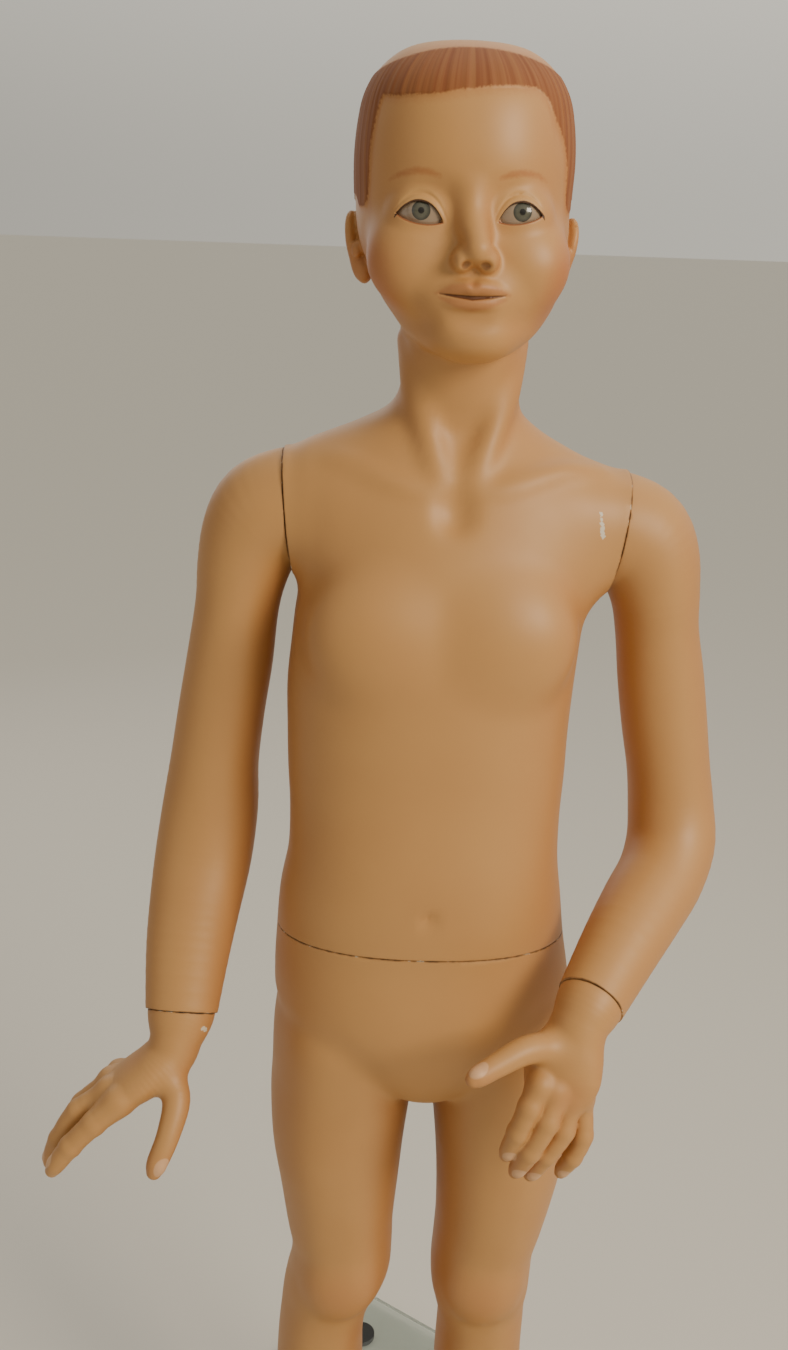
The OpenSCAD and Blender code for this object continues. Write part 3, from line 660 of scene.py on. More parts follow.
# %% The face
MOUTH_LINE = ((-13, 1063.9), (-6, 1063.1), (4, 1062.2), (14, 1062.9), (21.5, 1063.8))
MOUTH_WIDTHS = (0.1, 0.55, 0.95, 0.55, 0.1)
CREASE_DEPTH = 0.6
FOLD_DEPTH = 0.8
UPPER_LIP = [(-13.5, -71, 1065, 2), (-6, -76.3, 1066.8, 3), (0.5, -78.6, 1067.6, 3.4),
             (4.2, -79, 1066.8, 3.2), (8, -78.6, 1067.6, 3.4), (15, -76.3, 1066.8, 3),
             (22.5, -71, 1065, 2)]
LOWER_LIP = [(-11, -71.5, 1061, 2), (-4, -75.5, 1059.3, 3.4), (4.4, -76.6, 1058.6, 4),
             (13, -75.5, 1059.3, 3.4), (20, -71.5, 1061, 2)]
NOSE_LINE = [(1.2, -66, 1115, 6), (2.2, -70, 1104, 6.3), (3.8, -76.5, 1095, 6.5), (5.6, -84, 1086.5, 6.8)]


def face(p, skull):
    """The skull with its sockets, cheeks, muzzle, chin, nose, eyes and mouth, in that order."""
    field = skull
    for side, s in SIDE.items():
        ex, _, ez = eye_centre(side)
        field = scoop(field, egg(p, (ex - s * 1, -83, ez + 2), (22, 14, 15)), 9)
    for s, cx in ((-1, -31), (1, 36)):
        field = press(field, egg(p, (cx, -52, 1079), (20, 20, 20)), 16)
    field = press(field, egg(p, (4, -64, 1063), (25, 14, 17)), 9)
    field = press(field, egg(p, (6.5, -60, 1041), (20, 15, 11)), 12)
    field = press(field, rod(p, NOSE_LINE, 14), 9)
    for s in (-1, 1):
        field = press(field, egg(p, (4.6 + s * 7.4, -78.5, 1081), (4.8, 8, 5.4)), 5)
    for s in (-1, 1):
        field = scoop(field, egg(p, (5 + s * 4.9, -85.4, 1078.6), (2.5, 3.2, 1.6)), 3)
    for side in SIDE:
        ball = egg(p, eye_centre(side), np.array(EYEBALL) + LID, (0, 0, eye_turn(side)))
        field = press(field, ball, 4.5)
        along, above, below = almond(p, side)
        opening = -press(-above, -below, 1.2)
        behind_cap = -1.3 - egg(p, eye_centre(side), EYEBALL, (0, 0, eye_turn(side)))
        field = scoop(field, np.maximum(opening, behind_cap), 1.2)
        inwards = np.clip(1.25 - np.abs(along) / EYES[side]["half"], 0, 1)
        field = field + FOLD_DEPTH * inwards * np.exp(-((above - 4.2) / 1.1) ** 2)
    field = press(press(field, rod(p, UPPER_LIP, 24), 3), rod(p, LOWER_LIP, 20), 3)
    crease = np.clip((line_mm(p, MOUTH_LINE, MOUTH_WIDTHS) + 0.9) / 1.4, 0, 1)
    field = field + CREASE_DEPTH * crease ** 2 * (3 - 2 * crease)
    field = scoop(field, egg(p, (4, -83, 1050.5), (15, 6.5, 4.5)), 7)
    return scoop(field, egg(p, (4.5, -83.3, 1073), (2.4, 3, 4.5)), 3)


# %% An ear
def ear(p, s):
    """One ear, with its rim, its bowl, the small flap in front and the lobe."""
    lean = (12, s * 10, s * 18)
    x = 1 + s * 60.5
    field = egg(p, (x, 17, 1086), (5, 12.5, 18.5), lean)
    field = press(field, egg(p, (x - s * 5, 12, 1072), (4.8, 6.5, 8)), 7)
    field = scoop(field, egg(p, (x + s * 6.5, 16.5, 1091), (4.4, 7.4, 11), lean), 1.5)
    field = scoop(field, egg(p, (x + s * 5, 14.5, 1085), (3.8, 4.5, 6), lean), 1.5)
    ridge = rod(p, [(x + s * 0.5, 21, 1075, 1.5), (x + s * 2.3, 21.5, 1086, 1.5),
                    (x + s * 2.5, 18.5, 1095, 1.4)], 8)
    field = press(field, ridge, 2)
    return press(field, egg(p, (x - s * 0.5, 4.5, 1083), (3, 3.2, 4.6)), 2)


# %% [markdown]
# ## The crew cut
# The hair is sculpted as a mass that stands just under a millimetre off the scalp, with combed
# grooves. Its lower edge is the hairline. Its upper edge is where the painter stopped, and the
# crown stays bare. Both edges are heights that change with the direction around the head. Strands
# would be wrong here, because this hair is moulded and painted.

# %% The hair's edges
BEHIND_THE_EAR = (
    (60, 1106), (66, 1112), (85, 1112), (97, 1107), (110, 1078), (128, 1054), (180, 1050))
HAIRLINE = {  # the direction in degrees, and the height of the hair's lower edge there
    "right": ((0, 1164), (6, 1162.6), (14, 1160.6), (31, 1160), (40, 1161), (43.5, 1140), (46, 1112),
              (50, 1106), *BEHIND_THE_EAR),
    "left": ((0, 1164), (6, 1165), (14, 1166), (26, 1166), (31, 1161), (34, 1152), (41, 1141),
             (45, 1130), (48, 1112), (52, 1106), *BEHIND_THE_EAR)}
HAIR_THICKNESS, GROOVE_DEPTH = 0.75, 0.16
print("hairline of", len(HAIRLINE["right"]), "and", len(HAIRLINE["left"]), "points")


def around_head(p):
    """Directions around the head in degrees: 0 in front, positive towards the figure's left."""
    return np.degrees(np.arctan2(p[:, 0] - 1, -(p[:, 1] - 10)))


def hair_mm(p):
    """How deep inside the edge of the hair points lie, in mm. It is negative on bare skin."""
    turn = around_head(p)
    line = np.empty(len(p))
    steep = np.empty(len(p))
    for side, keep in (("right", turn < 0), ("left", turn >= 0)):
        at, z = np.array(HAIRLINE[side]).T
        fine = np.linspace(0, 180, 721)
        heights = np.interp(fine, at, z)
        heights = np.convolve(np.pad(heights, 5, mode="edge"), np.ones(11) / 11, "valid")
        line[keep] = np.interp(np.abs(turn[keep]), fine, heights)
        steep[keep] = np.interp(np.abs(turn[keep]), fine, np.gradient(heights, fine))
    return (p[:, 2] - line) / np.sqrt(1 + steep ** 2)


def crown_mm(p):
    """How far above the hair's upper edge points lie, in mm."""
    across = p[:, 0] / 52
    back = np.clip((p[:, 1] - 10) / 70, 0, 1)
    return p[:, 2] - (1184 - 11 * across ** 2 - 12 * back ** 2)


def combed(p):
    """Uneven grooves that run down through the hair, from -1 to 1."""
    turn = np.radians(around_head(p))
    return (np.sin(turn * 61 + 2 * np.sin(turn * 9)) + 0.6 * np.sin(turn * 113 + p[:, 2] * 0.05)) / 1.6


# %% The upper body
def upper_body(p):
    """Torso, neck, head and hair. The chest is a plain, shallow form."""
    field = column(p, [ring for ring in TRUNK if ring[0] > 600])
    field = press(field, column(p[:, [2, 1, 0]], YOKE, close=3), 16)
    for s in (-1, 1):
        field = press(field, egg(p, (s * 40 - 2, -50, 868), (36, 24, 34)), 20)
        field = press(field, egg(p, (s * 44 - 1, 62, 885), (30, 20, 46)), 22)
        collar_bone = rod(p, [(s * 9 + 2, -37, 950, 4), (s * 32 + 2, -37, 955, 4),
                              (s * 62 + 2, -24, 963, 4), (s * 84 + 2, -8, 958, 4)], 12)
        field = press(field, collar_bone, 9)
        cord = rod(p, [(s * 31 + 4, -2, 1034, 6), (s * 23 + 4, -21, 1000, 6.5),
                       (s * 13 + 3, -33, 968, 5), (s * 9 + 3, -35.5, 955, 3)], 12)
        field = press(field, cord, 10)
    spine = rod(p, [(-2, 86, 690, 4), (-1, 92, 780, 4), (1, 96, 860, 4), (2, 90, 920, 3)], 12)
    field = scoop(field, spine, 14)
    field = scoop(field, egg(p, (2, -52.5, 945), (8, 8, 11)), 12)
    field = scoop(field, egg(p, (-3, -80, 694), (4, 6.5, 5.5)), 5)
    field = press(field, egg(p, (-3, -72.6, 692), (2.6, 3, 2.6)), 2)
    high = p[:, 2] > 1005
    if high.any():
        q = p[high]
        skull = press(field[high], column(q, HEAD, close=6), 8)
        near = q[:, 1] < -20
        if near.any():
            skull[near] = face(q[near], skull[near])
        for s in (-1, 1):
            near = (s * q[:, 0] > 40) & (q[:, 2] < 1125) & (q[:, 2] > 1045)
            if near.any():
                skull[near] = press(skull[near], ear(q[near], s), 3)
        inside = np.minimum(hair_mm(q), -crown_mm(q) + 2)
        mass = np.clip(inside / 1.6 + 0.5, 0, 1)
        off_ear = np.clip((np.hypot(q[:, 1] - 17, q[:, 2] - 1086) - 21) / 4, 0, 1)
        field[high] = skull - mass * off_ear * (HAIR_THICKNESS + GROOVE_DEPTH * combed(q))
    return field


# %% [markdown]
# ## Arms and hands
# An arm is one tube from shoulder to wrist. A hand is a palm with five fingers that run into it, and
# the fillet between them makes the webs. The nails are thin ovals, pressed on so that their edge
# still shows.

# %% Stations of the arms and the hands, in mm
ARM = {
    "right": [
        (-84, 5, 935, 34, 34), (-97, 5, 933, 34.5, 34), (-110, 6, 927, 34, 34), (-119, 8, 913, 31.5, 33),
        (-125, 9, 893, 28.5, 31), (-129, 10, 868, 26.2, 29), (-134, 13, 832, 27.3, 28),
        (-140, 16, 796, 27.8, 28), (-145, 18, 760, 28.8, 28), (-148, 17, 727, 31.5, 29),
        (-152, 9, 694, 32, 29), (-156, -6, 665, 30, 27.5), (-159, -21, 638, 27.5, 25),
        (-161, -40, 604, 23.5, 21.5), (-162, -49, 588, 21, 20)],
    "left": [
        (91, 5, 927, 34, 34), (104, 5, 925, 34.5, 34), (117, 6, 919, 34, 34), (126, 7, 905, 31, 33),
        (132, 8, 884, 27.5, 30.5), (136, 11, 860, 26, 28.5), (142, 14, 828, 27.3, 28),
        (148, 17, 796, 27.5, 28), (154, 19, 765, 27, 28), (158, 18, 738, 28, 29), (159, 10, 714, 29, 30),
        (151, -7, 697, 28, 29), (137, -28, 685, 27, 28), (119, -56, 671, 25, 25),
        (97, -90, 651, 21.5, 21), (88, -104, 643, 20, 20)]}
ELBOW = {"right": (-149, 30, 728), "left": (163, 26, 728)}
PALM = {
    "right": [
        (-160, -33, 617, 21, 20), (-161, -40, 604, 22, 20.5), (-163, -47, 591, 17.5, 18.5),
        (-167, -51, 579, 16.5, 19.5), (-177, -54, 570, 15, 24), (-190, -56, 561, 13.5, 26.5),
        (-202, -56, 553, 11, 25), (-207, -56, 549, 8, 22)],
    "left": [
        (104, -79, 657, 20, 20), (97, -90, 651, 20.5, 20.5), (91, -98, 643, 18, 17.5),
        (87, -103, 634, 18.5, 16), (83, -108, 624, 22, 14.5), (80, -112, 614, 23.5, 12.5),
        (79, -114, 605, 21.5, 10.5), (78, -115, 600, 18, 8)]}
PALM_TURN = {"right": 5, "left": 16}
FINGERS = {  # four fingers from the index to the little one, then the thumb
    "right": [
        [(-196, -76, 557, 8), (-212, -81, 545, 7.6), (-227, -83, 529, 7),
         (-236, -83, 516, 6.2), (-240, -82, 509, 4.6)],
        [(-204, -62, 556, 8), (-225, -66, 543, 7.6), (-238, -67, 522, 7),
         (-244, -65, 507, 6.2), (-246, -64, 501, 4.6)],
        [(-206, -48, 554, 8), (-226, -50, 537, 7.4), (-239, -50, 515, 6.8),
         (-245, -47, 500, 6), (-247, -46, 494, 4.4)],
        [(-203, -35, 551, 7.4), (-219, -35, 535, 6.8), (-230, -34, 519, 6.2),
         (-236, -31, 506, 5.4), (-239, -30, 501, 4)],
        [(-168, -60, 572, 10), (-160, -74, 560, 9), (-163, -88, 544, 7.6),
         (-169, -96, 529, 6.8), (-171, -98, 523, 5)]],
    "left": [
        [(66, -118, 612, 7.6), (60, -125, 599, 7.2), (54, -126, 582, 6.6),
         (50, -122, 567, 5.9), (48.5, -120, 561, 4.4)],
        [(75, -118, 608, 7.6), (71, -126, 590, 7.2), (62, -126, 569, 6.8),
         (57, -121, 554, 6), (55, -119, 548, 4.4)],
        [(84, -114, 603, 7.6), (82, -121, 581, 7), (73, -121, 563, 6.4),
         (67, -116, 548, 5.8), (65, -114, 542, 4.2)],
        [(93, -109, 598, 7), (95, -115, 573, 6.2), (90, -115, 557, 5.8),
         (86, -111, 546, 5.2), (84.5, -109.5, 541, 4)],
        [(78, -108, 630, 9.5), (57, -119, 635, 8.6), (38, -130, 631, 7.2),
         (28, -136, 628, 6.4), (24, -138.5, 627, 4.8)]]}
BACK_OF_HAND = {"right": (-0.62, -0.1, 0.78), "left": (0.1, -0.98, 0.1)}
BACK_OF_THUMB = {"right": (0.5, -0.75, -0.1), "left": (-0.1, -0.3, 0.95)}
NAIL_WIDTH, NAIL_BULGE = 0.72, 0.56
print("arms of", len(ARM["right"]), "stations, hands of", len(FINGERS["right"]), "fingers")


# %% An arm
def arm(p, side):
    """One arm, from inside the shoulder's seam to past the wrist's."""
    field = tube(p, ARM[side], 60)
    return press(field, egg(p, ELBOW[side], (11, 10, 15)), 12)


# %% Nails
def nails(side):
    """Each nail's middle, and the directions along it, across it and out of it."""
    found = []
    for number, finger in enumerate(FINGERS[side]):
        ring, tip = np.array(finger[-2]), np.array(finger[-1])
        along = tip[:3] - ring[:3]
        along /= np.linalg.norm(along)
        back = np.array((BACK_OF_THUMB if number == 4 else BACK_OF_HAND)[side])
        out = back - (back @ along) * along
        out /= np.linalg.norm(out)
        found.append((ring[:3] + along, along, np.cross(out, along), out, ring[3]))
    return found


def nail_mm(p, side):
    """How deep inside the outline of the nearest nail points lie, in mm."""
    best = np.full(len(p), FAR_FROM_PAINT)
    for middle, along, across, out, r in nails(side):
        q = p - middle
        length = (q @ along) / r
        width = (q @ across) / (NAIL_WIDTH * r)
        inside = (1 - np.sqrt(length ** 2 + width ** 2)) * 0.8 * r
        best = np.maximum(best, np.where(q @ out > 0.35 * r, inside, FAR_FROM_PAINT))
    return best


# %% A hand
def hand(p, side):
    """One hand, from inside the wrist's seam to the fingertips."""
    palm = tube(p, PALM[side], 40, PALM_TURN[side])
    thumb = rod(p, FINGERS[side][4], 24)
    fingers = np.full(len(p), 1e3)
    for finger in FINGERS[side][:4]:
        fingers = press(fingers, rod(p, finger, 24), 1.2)
        knuckle = np.array(finger[0][:3]) + np.array(BACK_OF_HAND[side]) * 3.5
        palm = press(palm, egg(p, knuckle, (6.5, 6.5, 6.5)), 5)
        for joint in finger[1:3]:
            fingers = press(fingers, egg(p, joint[:3], [joint[3] + 0.35] * 3), 2)
    field = press(press(palm, fingers, 6), thumb, 7)
    for middle, along, across, out, r in nails(side):
        q = (p - middle) @ np.stack([along, across, out], axis=1)
        field = press(field, egg(q, (0, 0, 0.5 * r), (r, NAIL_WIDTH * r, NAIL_BULGE * r)), 0.3)
    return field


# %% [markdown]
# ## Satin paint
# The shells are sprayed with a satin enamel, skin tone first and warmer tones over it with an
# airbrush, and the face is finished with a fine brush. Some masks paint shade or light into the colour:
# shade on the sides, under the hairline, in the lips' parting and in the nostrils, and a highlight on
# the upper lids. Satin enamel scatters a highlight into a soft patch, and its IOR is about 1.5. The
# brushwork is drawn from masks that hold a distance in mm to the edge of each painted shape, because a
# shader can cut a crisp or a feathered edge from a distance. A texture picture would need the same
# drawing and would blur sooner.

# %% The shells' paint
SKIN, SKIN_CLOUD = "#c49358", "#bc8a52"
MASKS = [
    # mask, colour, strength, where its edge starts and is full in mm, raggedness in mm
    # painted shade on the sides of the body and limbs
    ("side_shade", "#a8683a", 0.42, 0.0, 1.0, 0.10),
    ("blush", "#b5683c", 0.26, 0.0, 1.0, 0.10),
    ("cheek", "#ad5f36", 0.55, 0.0, 1.0, 0.06),
    ("crown_tone", "#c28d54", 0.80, -1.0, 2.0, 0.8),
    # painted shadow under the hair's raised edge, streaked like the hair
    ("hairline_shadow", "#a4602f", 0.40, -2.0, 5.0, 1.5),
    ("hair", "#7c4116", 0.95, -0.4, 1.0, 1.2),
    ("brow", "#a15c2c", 0.55, -1.6, 1.0, 0.6),
    # painted highlight on the bulge of the upper lids
    ("lid_highlight", "#cfa060", 0.45, -2.5, 2.0, 0.2),
    ("lips", "#a8653c", 0.50, -1.2, 1.2, 0.3),
    # a painted lip line, which is also painted shade in the lips' parting
    ("lip_line_and_shade", "#542a14", 0.92, -0.6, 0.2, 0.15),
    # painted shade in the nostrils
    ("nostril_shade", "#6b3b1f", 0.50, -0.6, 0.6, 0.1),
    ("under_lash", "#8a4a2b", 0.80, -0.3, 0.3, 0.1),
    ("lash", "#3a2115", 0.95, -0.25, 0.25, 0.12),
    ("nail", "#d9ae86", 0.75, -0.3, 0.5, 0.1),
    ("flake", "#d2c9b4", 0.95, -0.15, 0.15, 1.6),
]
CLOUD_MM, RAG_MM, PEEL_MM, STROKE_MM, CHIP_MM = 55, 1.6, 1.8, 4.0, 7.0
MM_PER_DEGREE = 1.25

shell_paint, tree, surface = new_material("satin_enamel_on_fibreglass")
place = add_node(tree, "TexCoord").outputs["Object"]
clouds = add_node(tree, "TexNoise", {"Vector": place, "Scale": 1000 / CLOUD_MM, "Detail": 3.0})
ragged = add_node(tree, "TexNoise", {"Vector": place, "Scale": 1000 / RAG_MM, "Detail": 2.0})
comb_turn = add_node(tree, "Attribute", attribute_name="comb_turn").outputs["Fac"]
strokes = add_node(tree, "TexNoise", {"W": comb_turn, "Scale": MM_PER_DEGREE / STROKE_MM, "Detail": 4.0},
                   noise_dimensions="1D")
print("paint layers over the skin tone:", len(MASKS))

# %% Brushwork over the skin tone, one mask after another
tone = add_node(tree, "Mix", {0: clouds.outputs["Fac"], 6: paint_card(SKIN), 7: paint_card(SKIN_CLOUD)},
                data_type="RGBA").outputs[2]
rag = add_node(tree, "Math", {0: ragged.outputs["Fac"], 1: 0.5}, operation="SUBTRACT").outputs[0]
streak = add_node(tree, "MapRange", {"Value": strokes.outputs["Fac"], "From Min": 0.35,
                                     "From Max": 0.62, "To Min": 0.7}).outputs["Result"]
for mask, colour, strength, start, full, jitter in MASKS:
    amount = add_node(tree, "Attribute", attribute_name=mask).outputs["Fac"]
    rough_edge = add_node(tree, "Math", {0: rag, 1: jitter * 2, 2: amount}, operation="MULTIPLY_ADD")
    cover = add_node(tree, "MapRange", {"Value": rough_edge.outputs[0], "From Min": start,
                                        "From Max": full, "To Max": strength},
                     interpolation_type="SMOOTHSTEP").outputs["Result"]
    # the hair and the painted shadow under its edge both break up along the combed strokes
    if mask in ("hair", "hairline_shadow"):
        cover = add_node(tree, "Math", {0: cover, 1: streak}, operation="MULTIPLY").outputs[0]
    tone = add_node(tree, "Mix", {0: cover, 6: tone, 7: paint_card(colour)}, data_type="RGBA").outputs[2]

# %% [markdown]
# ## Wear and painted shade at the seams
# Lifting the arms off and on rubs the paint at a seam. A dark brown covers the last millimetre in
# broken dashes: painted shade in the narrow gap, and dirt. Here and there a chip bares the pale filler.
# Both follow the distance to the seam and one noise, so they fall in different places on every seam.

# %% Painted seam shade with dirt, and chips
SEAM_SHADE_AND_GRIME, FILLER = "#4d3220", "#cfc4ae"
seam = add_node(tree, "Attribute", attribute_name="seam_mm").outputs["Fac"]
chip_noise = add_node(tree, "TexNoise", {"Vector": place, "Scale": 1000 / CHIP_MM, "Detail": 4.0})
dash_strength = add_node(tree, "MapRange", {"Value": chip_noise.outputs["Fac"], "From Min": 0.38, "From Max": 0.6,
                                   "To Min": 0.75, "To Max": 0.15}).outputs["Result"]
# painted shade in the seam's gap, mixed with dirt: darkest within 0.5 mm of the seam, gone by 1.1 mm
dark = add_node(tree, "MapRange", {"Value": seam, "From Min": 0.5, "From Max": 1.1, "To Min": dash_strength,
                                   "To Max": 0.0}).outputs["Result"]
tone = add_node(tree, "Mix", {0: dark, 6: tone, 7: paint_card(SEAM_SHADE_AND_GRIME)}, data_type="RGBA").outputs[2]
near_seam = add_node(tree, "MapRange", {"Value": seam, "From Min": 0.3, "From Max": 2.4,
                                        "To Min": 0.14, "To Max": -0.3}).outputs["Result"]
chip = add_node(tree, "Math", {0: chip_noise.outputs["Fac"], 1: near_seam}, operation="ADD")
chipped = add_node(tree, "MapRange", {"Value": chip.outputs[0], "From Min": 0.74,
                                      "From Max": 0.76}).outputs["Result"]
tone = add_node(tree, "Mix", {0: chipped, 6: tone, 7: paint_card(FILLER)}, data_type="RGBA").outputs[2]
tree.links.new(tone, surface.inputs["Base Color"])
# the painted seam shade and dirt reach 1.1 mm from a seam
print("dirt reaches 1.1 mm from a seam, chips about 2 mm")

# %% Gloss: satin on the skin, duller on the hair, with a faint orange peel from the spray gun
satin = add_node(tree, "MapRange", {"Value": clouds.outputs["Fac"], "From Min": 0.3, "From Max": 0.7,
                                    "To Min": 0.44, "To Max": 0.52}).outputs["Result"]
hair_depth = add_node(tree, "Attribute", attribute_name="hair").outputs["Fac"]
duller = add_node(tree, "MapRange", {"Value": hair_depth, "From Min": -1.0, "From Max": 1.0,
                                     "To Max": 0.26}).outputs["Result"]
gloss = add_node(tree, "Math", {0: satin, 1: duller}, operation="ADD").outputs[0]
tree.links.new(gloss, surface.inputs["Roughness"])
surface.inputs["IOR"].default_value = 1.5
peel = add_node(tree, "TexNoise", {"Vector": place, "Scale": 1000 / PEEL_MM, "Detail": 1.0})
skin_bump = add_node(tree, "Bump", {"Height": peel.outputs["Fac"], "Strength": 0.05, "Distance": 0.0003})
tree.links.new(skin_bump.outputs["Normal"], surface.inputs["Normal"])
print("enamel has", len(tree.nodes), "nodes")


# %% Masks of the face's brushwork
BROWS = {"right": ((-41, 1119.5), (-36, 1122), (-28, 1124), (-21, 1123.6), (-15, 1121.5)),
         "left": ((41, 1121), (36, 1123.6), (29, 1124.6), (22, 1123.6), (16, 1121.5))}
BROW_WIDTHS = (0.1, 0.9, 1.3, 1.2, 0.4)
LIPS = [(((-15, 1064), (-6, 1066.4), (4.2, 1067), (15, 1066.4), (24, 1064)), (0.4, 2.6, 3.2, 2.6, 0.4)),
        (((-13, 1061.8), (-4, 1059.4), (4.4, 1058.6), (13, 1059.4), (22, 1061.6)),
         (0.4, 2.4, 3.2, 2.4, 0.4))]
print("brush lines on the face:", len(BROWS) + len(LIPS) + 1)


def head_paint(p, normals):
    """The masks of the upper body: airbrush, hair, brows, lids, lashes, lips and nostrils, with painted shade
    under the hairline, in the lips' parting and in the nostrils, and a painted highlight on the upper lids.
    """
    masks = airbrush_side_shade_and_flakes(p, normals)
    head = p[:, 2] > 1020
    front = head & (p[:, 1] < -35)
    away = np.full(len(p), FAR_FROM_PAINT)

    def on_face(values):
        return np.where(front, values, away)

    hair = np.where(head, np.minimum(hair_mm(p), 2 - crown_mm(p)), away)
    masks["hair"] = hair
    masks["comb_turn"] = around_head(p)
    masks["crown_tone"] = np.where(head, crown_mm(p), away)
    # painted shadow: a darker band just under the hairline, round the front and sides
    masks["hairline_shadow"] = np.where(head & (np.abs(around_head(p)) < 75), hair + 4, away)
    cheek = np.zeros(len(p))
    for x in (-44, 50):
        reach = np.linalg.norm((p - (x, -48, 1070)) / (24, 26, 32), axis=1)
        cheek = np.maximum(cheek, 1 - reach)
    jaw = np.clip((np.abs(p[:, 0] - 3) - 26) / 26, 0, 1) * np.clip((1105 - p[:, 2]) / 25, 0, 1)
    masks["cheek"] = np.where(head, np.clip(cheek * 0.9 + jaw * 0.6, 0, 1), 0)
    masks["brow"] = on_face(np.maximum(*[line_mm(p, BROWS[side], BROW_WIDTHS) for side in SIDE]))
    lid_highlight = away.copy()
    lash = away.copy()
    under = away.copy()
    for side, s in SIDE.items():
        along, above, below = almond(p, side)
        half = EYES[side]["half"]
        outwards = np.clip(along * s / half, -1, 1)
        width = 0.75 + 0.45 * outwards
        lash = np.maximum(lash, np.where((along * s < half + 1.2) & (along * s > 0.2 - half),
                                         width - np.abs(above - 0.3), away))
        under = np.maximum(under, np.where((np.abs(along) < half + 0.5) & (above < 0.5),
                                           0.65 - np.abs(below - 0.1), away))
        # painted highlight: a lighter band on the upper lid, above its edge
        lid_highlight = np.maximum(lid_highlight, np.where(np.abs(along) < half, 4.0 - np.abs(above - 3.2), away))
    masks["lid_highlight"] = on_face(lid_highlight)
    masks["lash"] = on_face(lash)
    masks["under_lash"] = on_face(under)
    # a painted lip line, which is also painted shade in the lips' parting
    masks["lip_line_and_shade"] = on_face(line_mm(p, MOUTH_LINE, MOUTH_WIDTHS))
    masks["lips"] = on_face(np.maximum(*[line_mm(p, *lip) for lip in LIPS]))
    # painted shade: dark spots in the nostrils
    nostrils = [2.6 - np.linalg.norm(p - (5 + s * 5.0, -83.0, 1078.8), axis=1) for s in (-1, 1)]
    masks["nostril_shade"] = on_face(np.maximum(*nostrils))
    return masks


# %% Where the mesh is divided again
QUICK = 1.0


def whole(centres):
    """Everywhere."""
    return np.ones(len(centres), bool)


def on_flake(centres):
    """The spot near the left shoulder where a flake of paint is gone."""
    return (np.abs(centres - (89, -32, 934.5)) < (6, 12, 12)).all(1)


def on_feet(centres):
    """Feet and ankles."""
    return centres[:, 2] < 75


def on_head(centres):
    """The head, down to the chin in front and to the hair's end behind."""
    return (centres[:, 2] > 1030) & ((centres[:, 2] > 1040) | (centres[:, 1] < 0))


def on_features(centres):
    """Face, ears, and the front and sides of the hair's upper edge."""
    x, y, z = centres.T
    features = (y < -56) & (z > 1045) & (z < 1118) & (np.abs(x - 3) < 43)
    ears = (np.abs(y - 15) < 18) & (z > 1060) & (z < 1110)
    return features | ears | ((z > 1156) & (z < 1187) & (y < 25))


def on_edges(centres):
    """The lids and the mouth."""
    x, y, z = centres.T
    eyes = (z > 1096) & (z < 1113) & (np.abs(np.abs(x - 1.5) - 26.5) < 16)
    lips = (z > 1059) & (z < 1067) & (np.abs(x - 4.2) < 23)
    return (y < -56) & (eyes | lips)


# %% Making the shells
COARSE_MM, FINE_MM = 3.6 * QUICK, 1.8 * QUICK
mould("lower_body_shell", "lower_body", "lower_shell", lower_body, (-125, -145, 5), (125, 105, 705),
      COARSE_MM, [(waist, 1, 160)], [on_feet], airbrush_side_shade_and_flakes)
mould("torso_and_head_shell", "torso", "torso_shell", upper_body, (-130, -110, 606), (140, 112, 1204),
      COARSE_MM, [(waist, -1, 150), (shoulder["right"], 1, 52), (shoulder["left"], 1, 52)],
      [on_head, on_features, on_edges, on_flake, on_flake], head_paint)
for side in SIDE:
    arm_points = np.array(ARM[side])[:, :3]
    mould(side + "_arm_skin", side + "_arm", side + "_arm_shell", lambda p: arm(p, side),
          arm_points.min(0) - 50, arm_points.max(0) + 50, COARSE_MM,
          [(shoulder[side], -1, 75), (wrist[side], 1, 50)], [whole], airbrush_side_shade_and_flakes)
    hand_points = np.array([s[:3] for s in sum(FINGERS[side], PALM[side])])
    mould(side + "_hand_skin", side + "_hand", side + "_hand_shell", lambda p: hand(p, side),
          hand_points.min(0) - 32, hand_points.max(0) + 32, FINE_MM, [(wrist[side], -1, 42)], [whole],
          lambda p, n: {**airbrush_side_shade_and_flakes(p, n), "nail": nail_mm(p, side)})

# %% [markdown]
# ## Eyes
# The eyes are separate glossy caps set behind the lids: a white with a faint vein tone, and a
# grey-green iris with a darker rim under a clear bulge. A cap is a polar grid on the eyeball, so the
# iris, which is painted by distance from its middle, lies exactly on the rings of the mesh.

# %% The white of the eye
EYE_WHITE, VEINS = "#9c8b74", "#977f69"
IRIS, IRIS_HEART, IRIS_RIM, PUPIL = "#484b43", "#625f4e", "#2b2b25", "#1a1613"
IRIS_R, PUPIL_R = 5.0, 1.5
VEIN_MM = 6.0
eye_paint, tree, surface = new_material("painted_eye_under_clear_lacquer")
place = add_node(tree, "TexCoord").outputs["Object"]
veins = add_node(tree, "TexNoise", {"Vector": place, "Scale": 1000 / VEIN_MM, "Detail": 3.0}).outputs["Fac"]
tone = add_node(tree, "Mix", {0: veins, 6: paint_card(EYE_WHITE), 7: paint_card(VEINS)},
                data_type="RGBA").outputs[2]

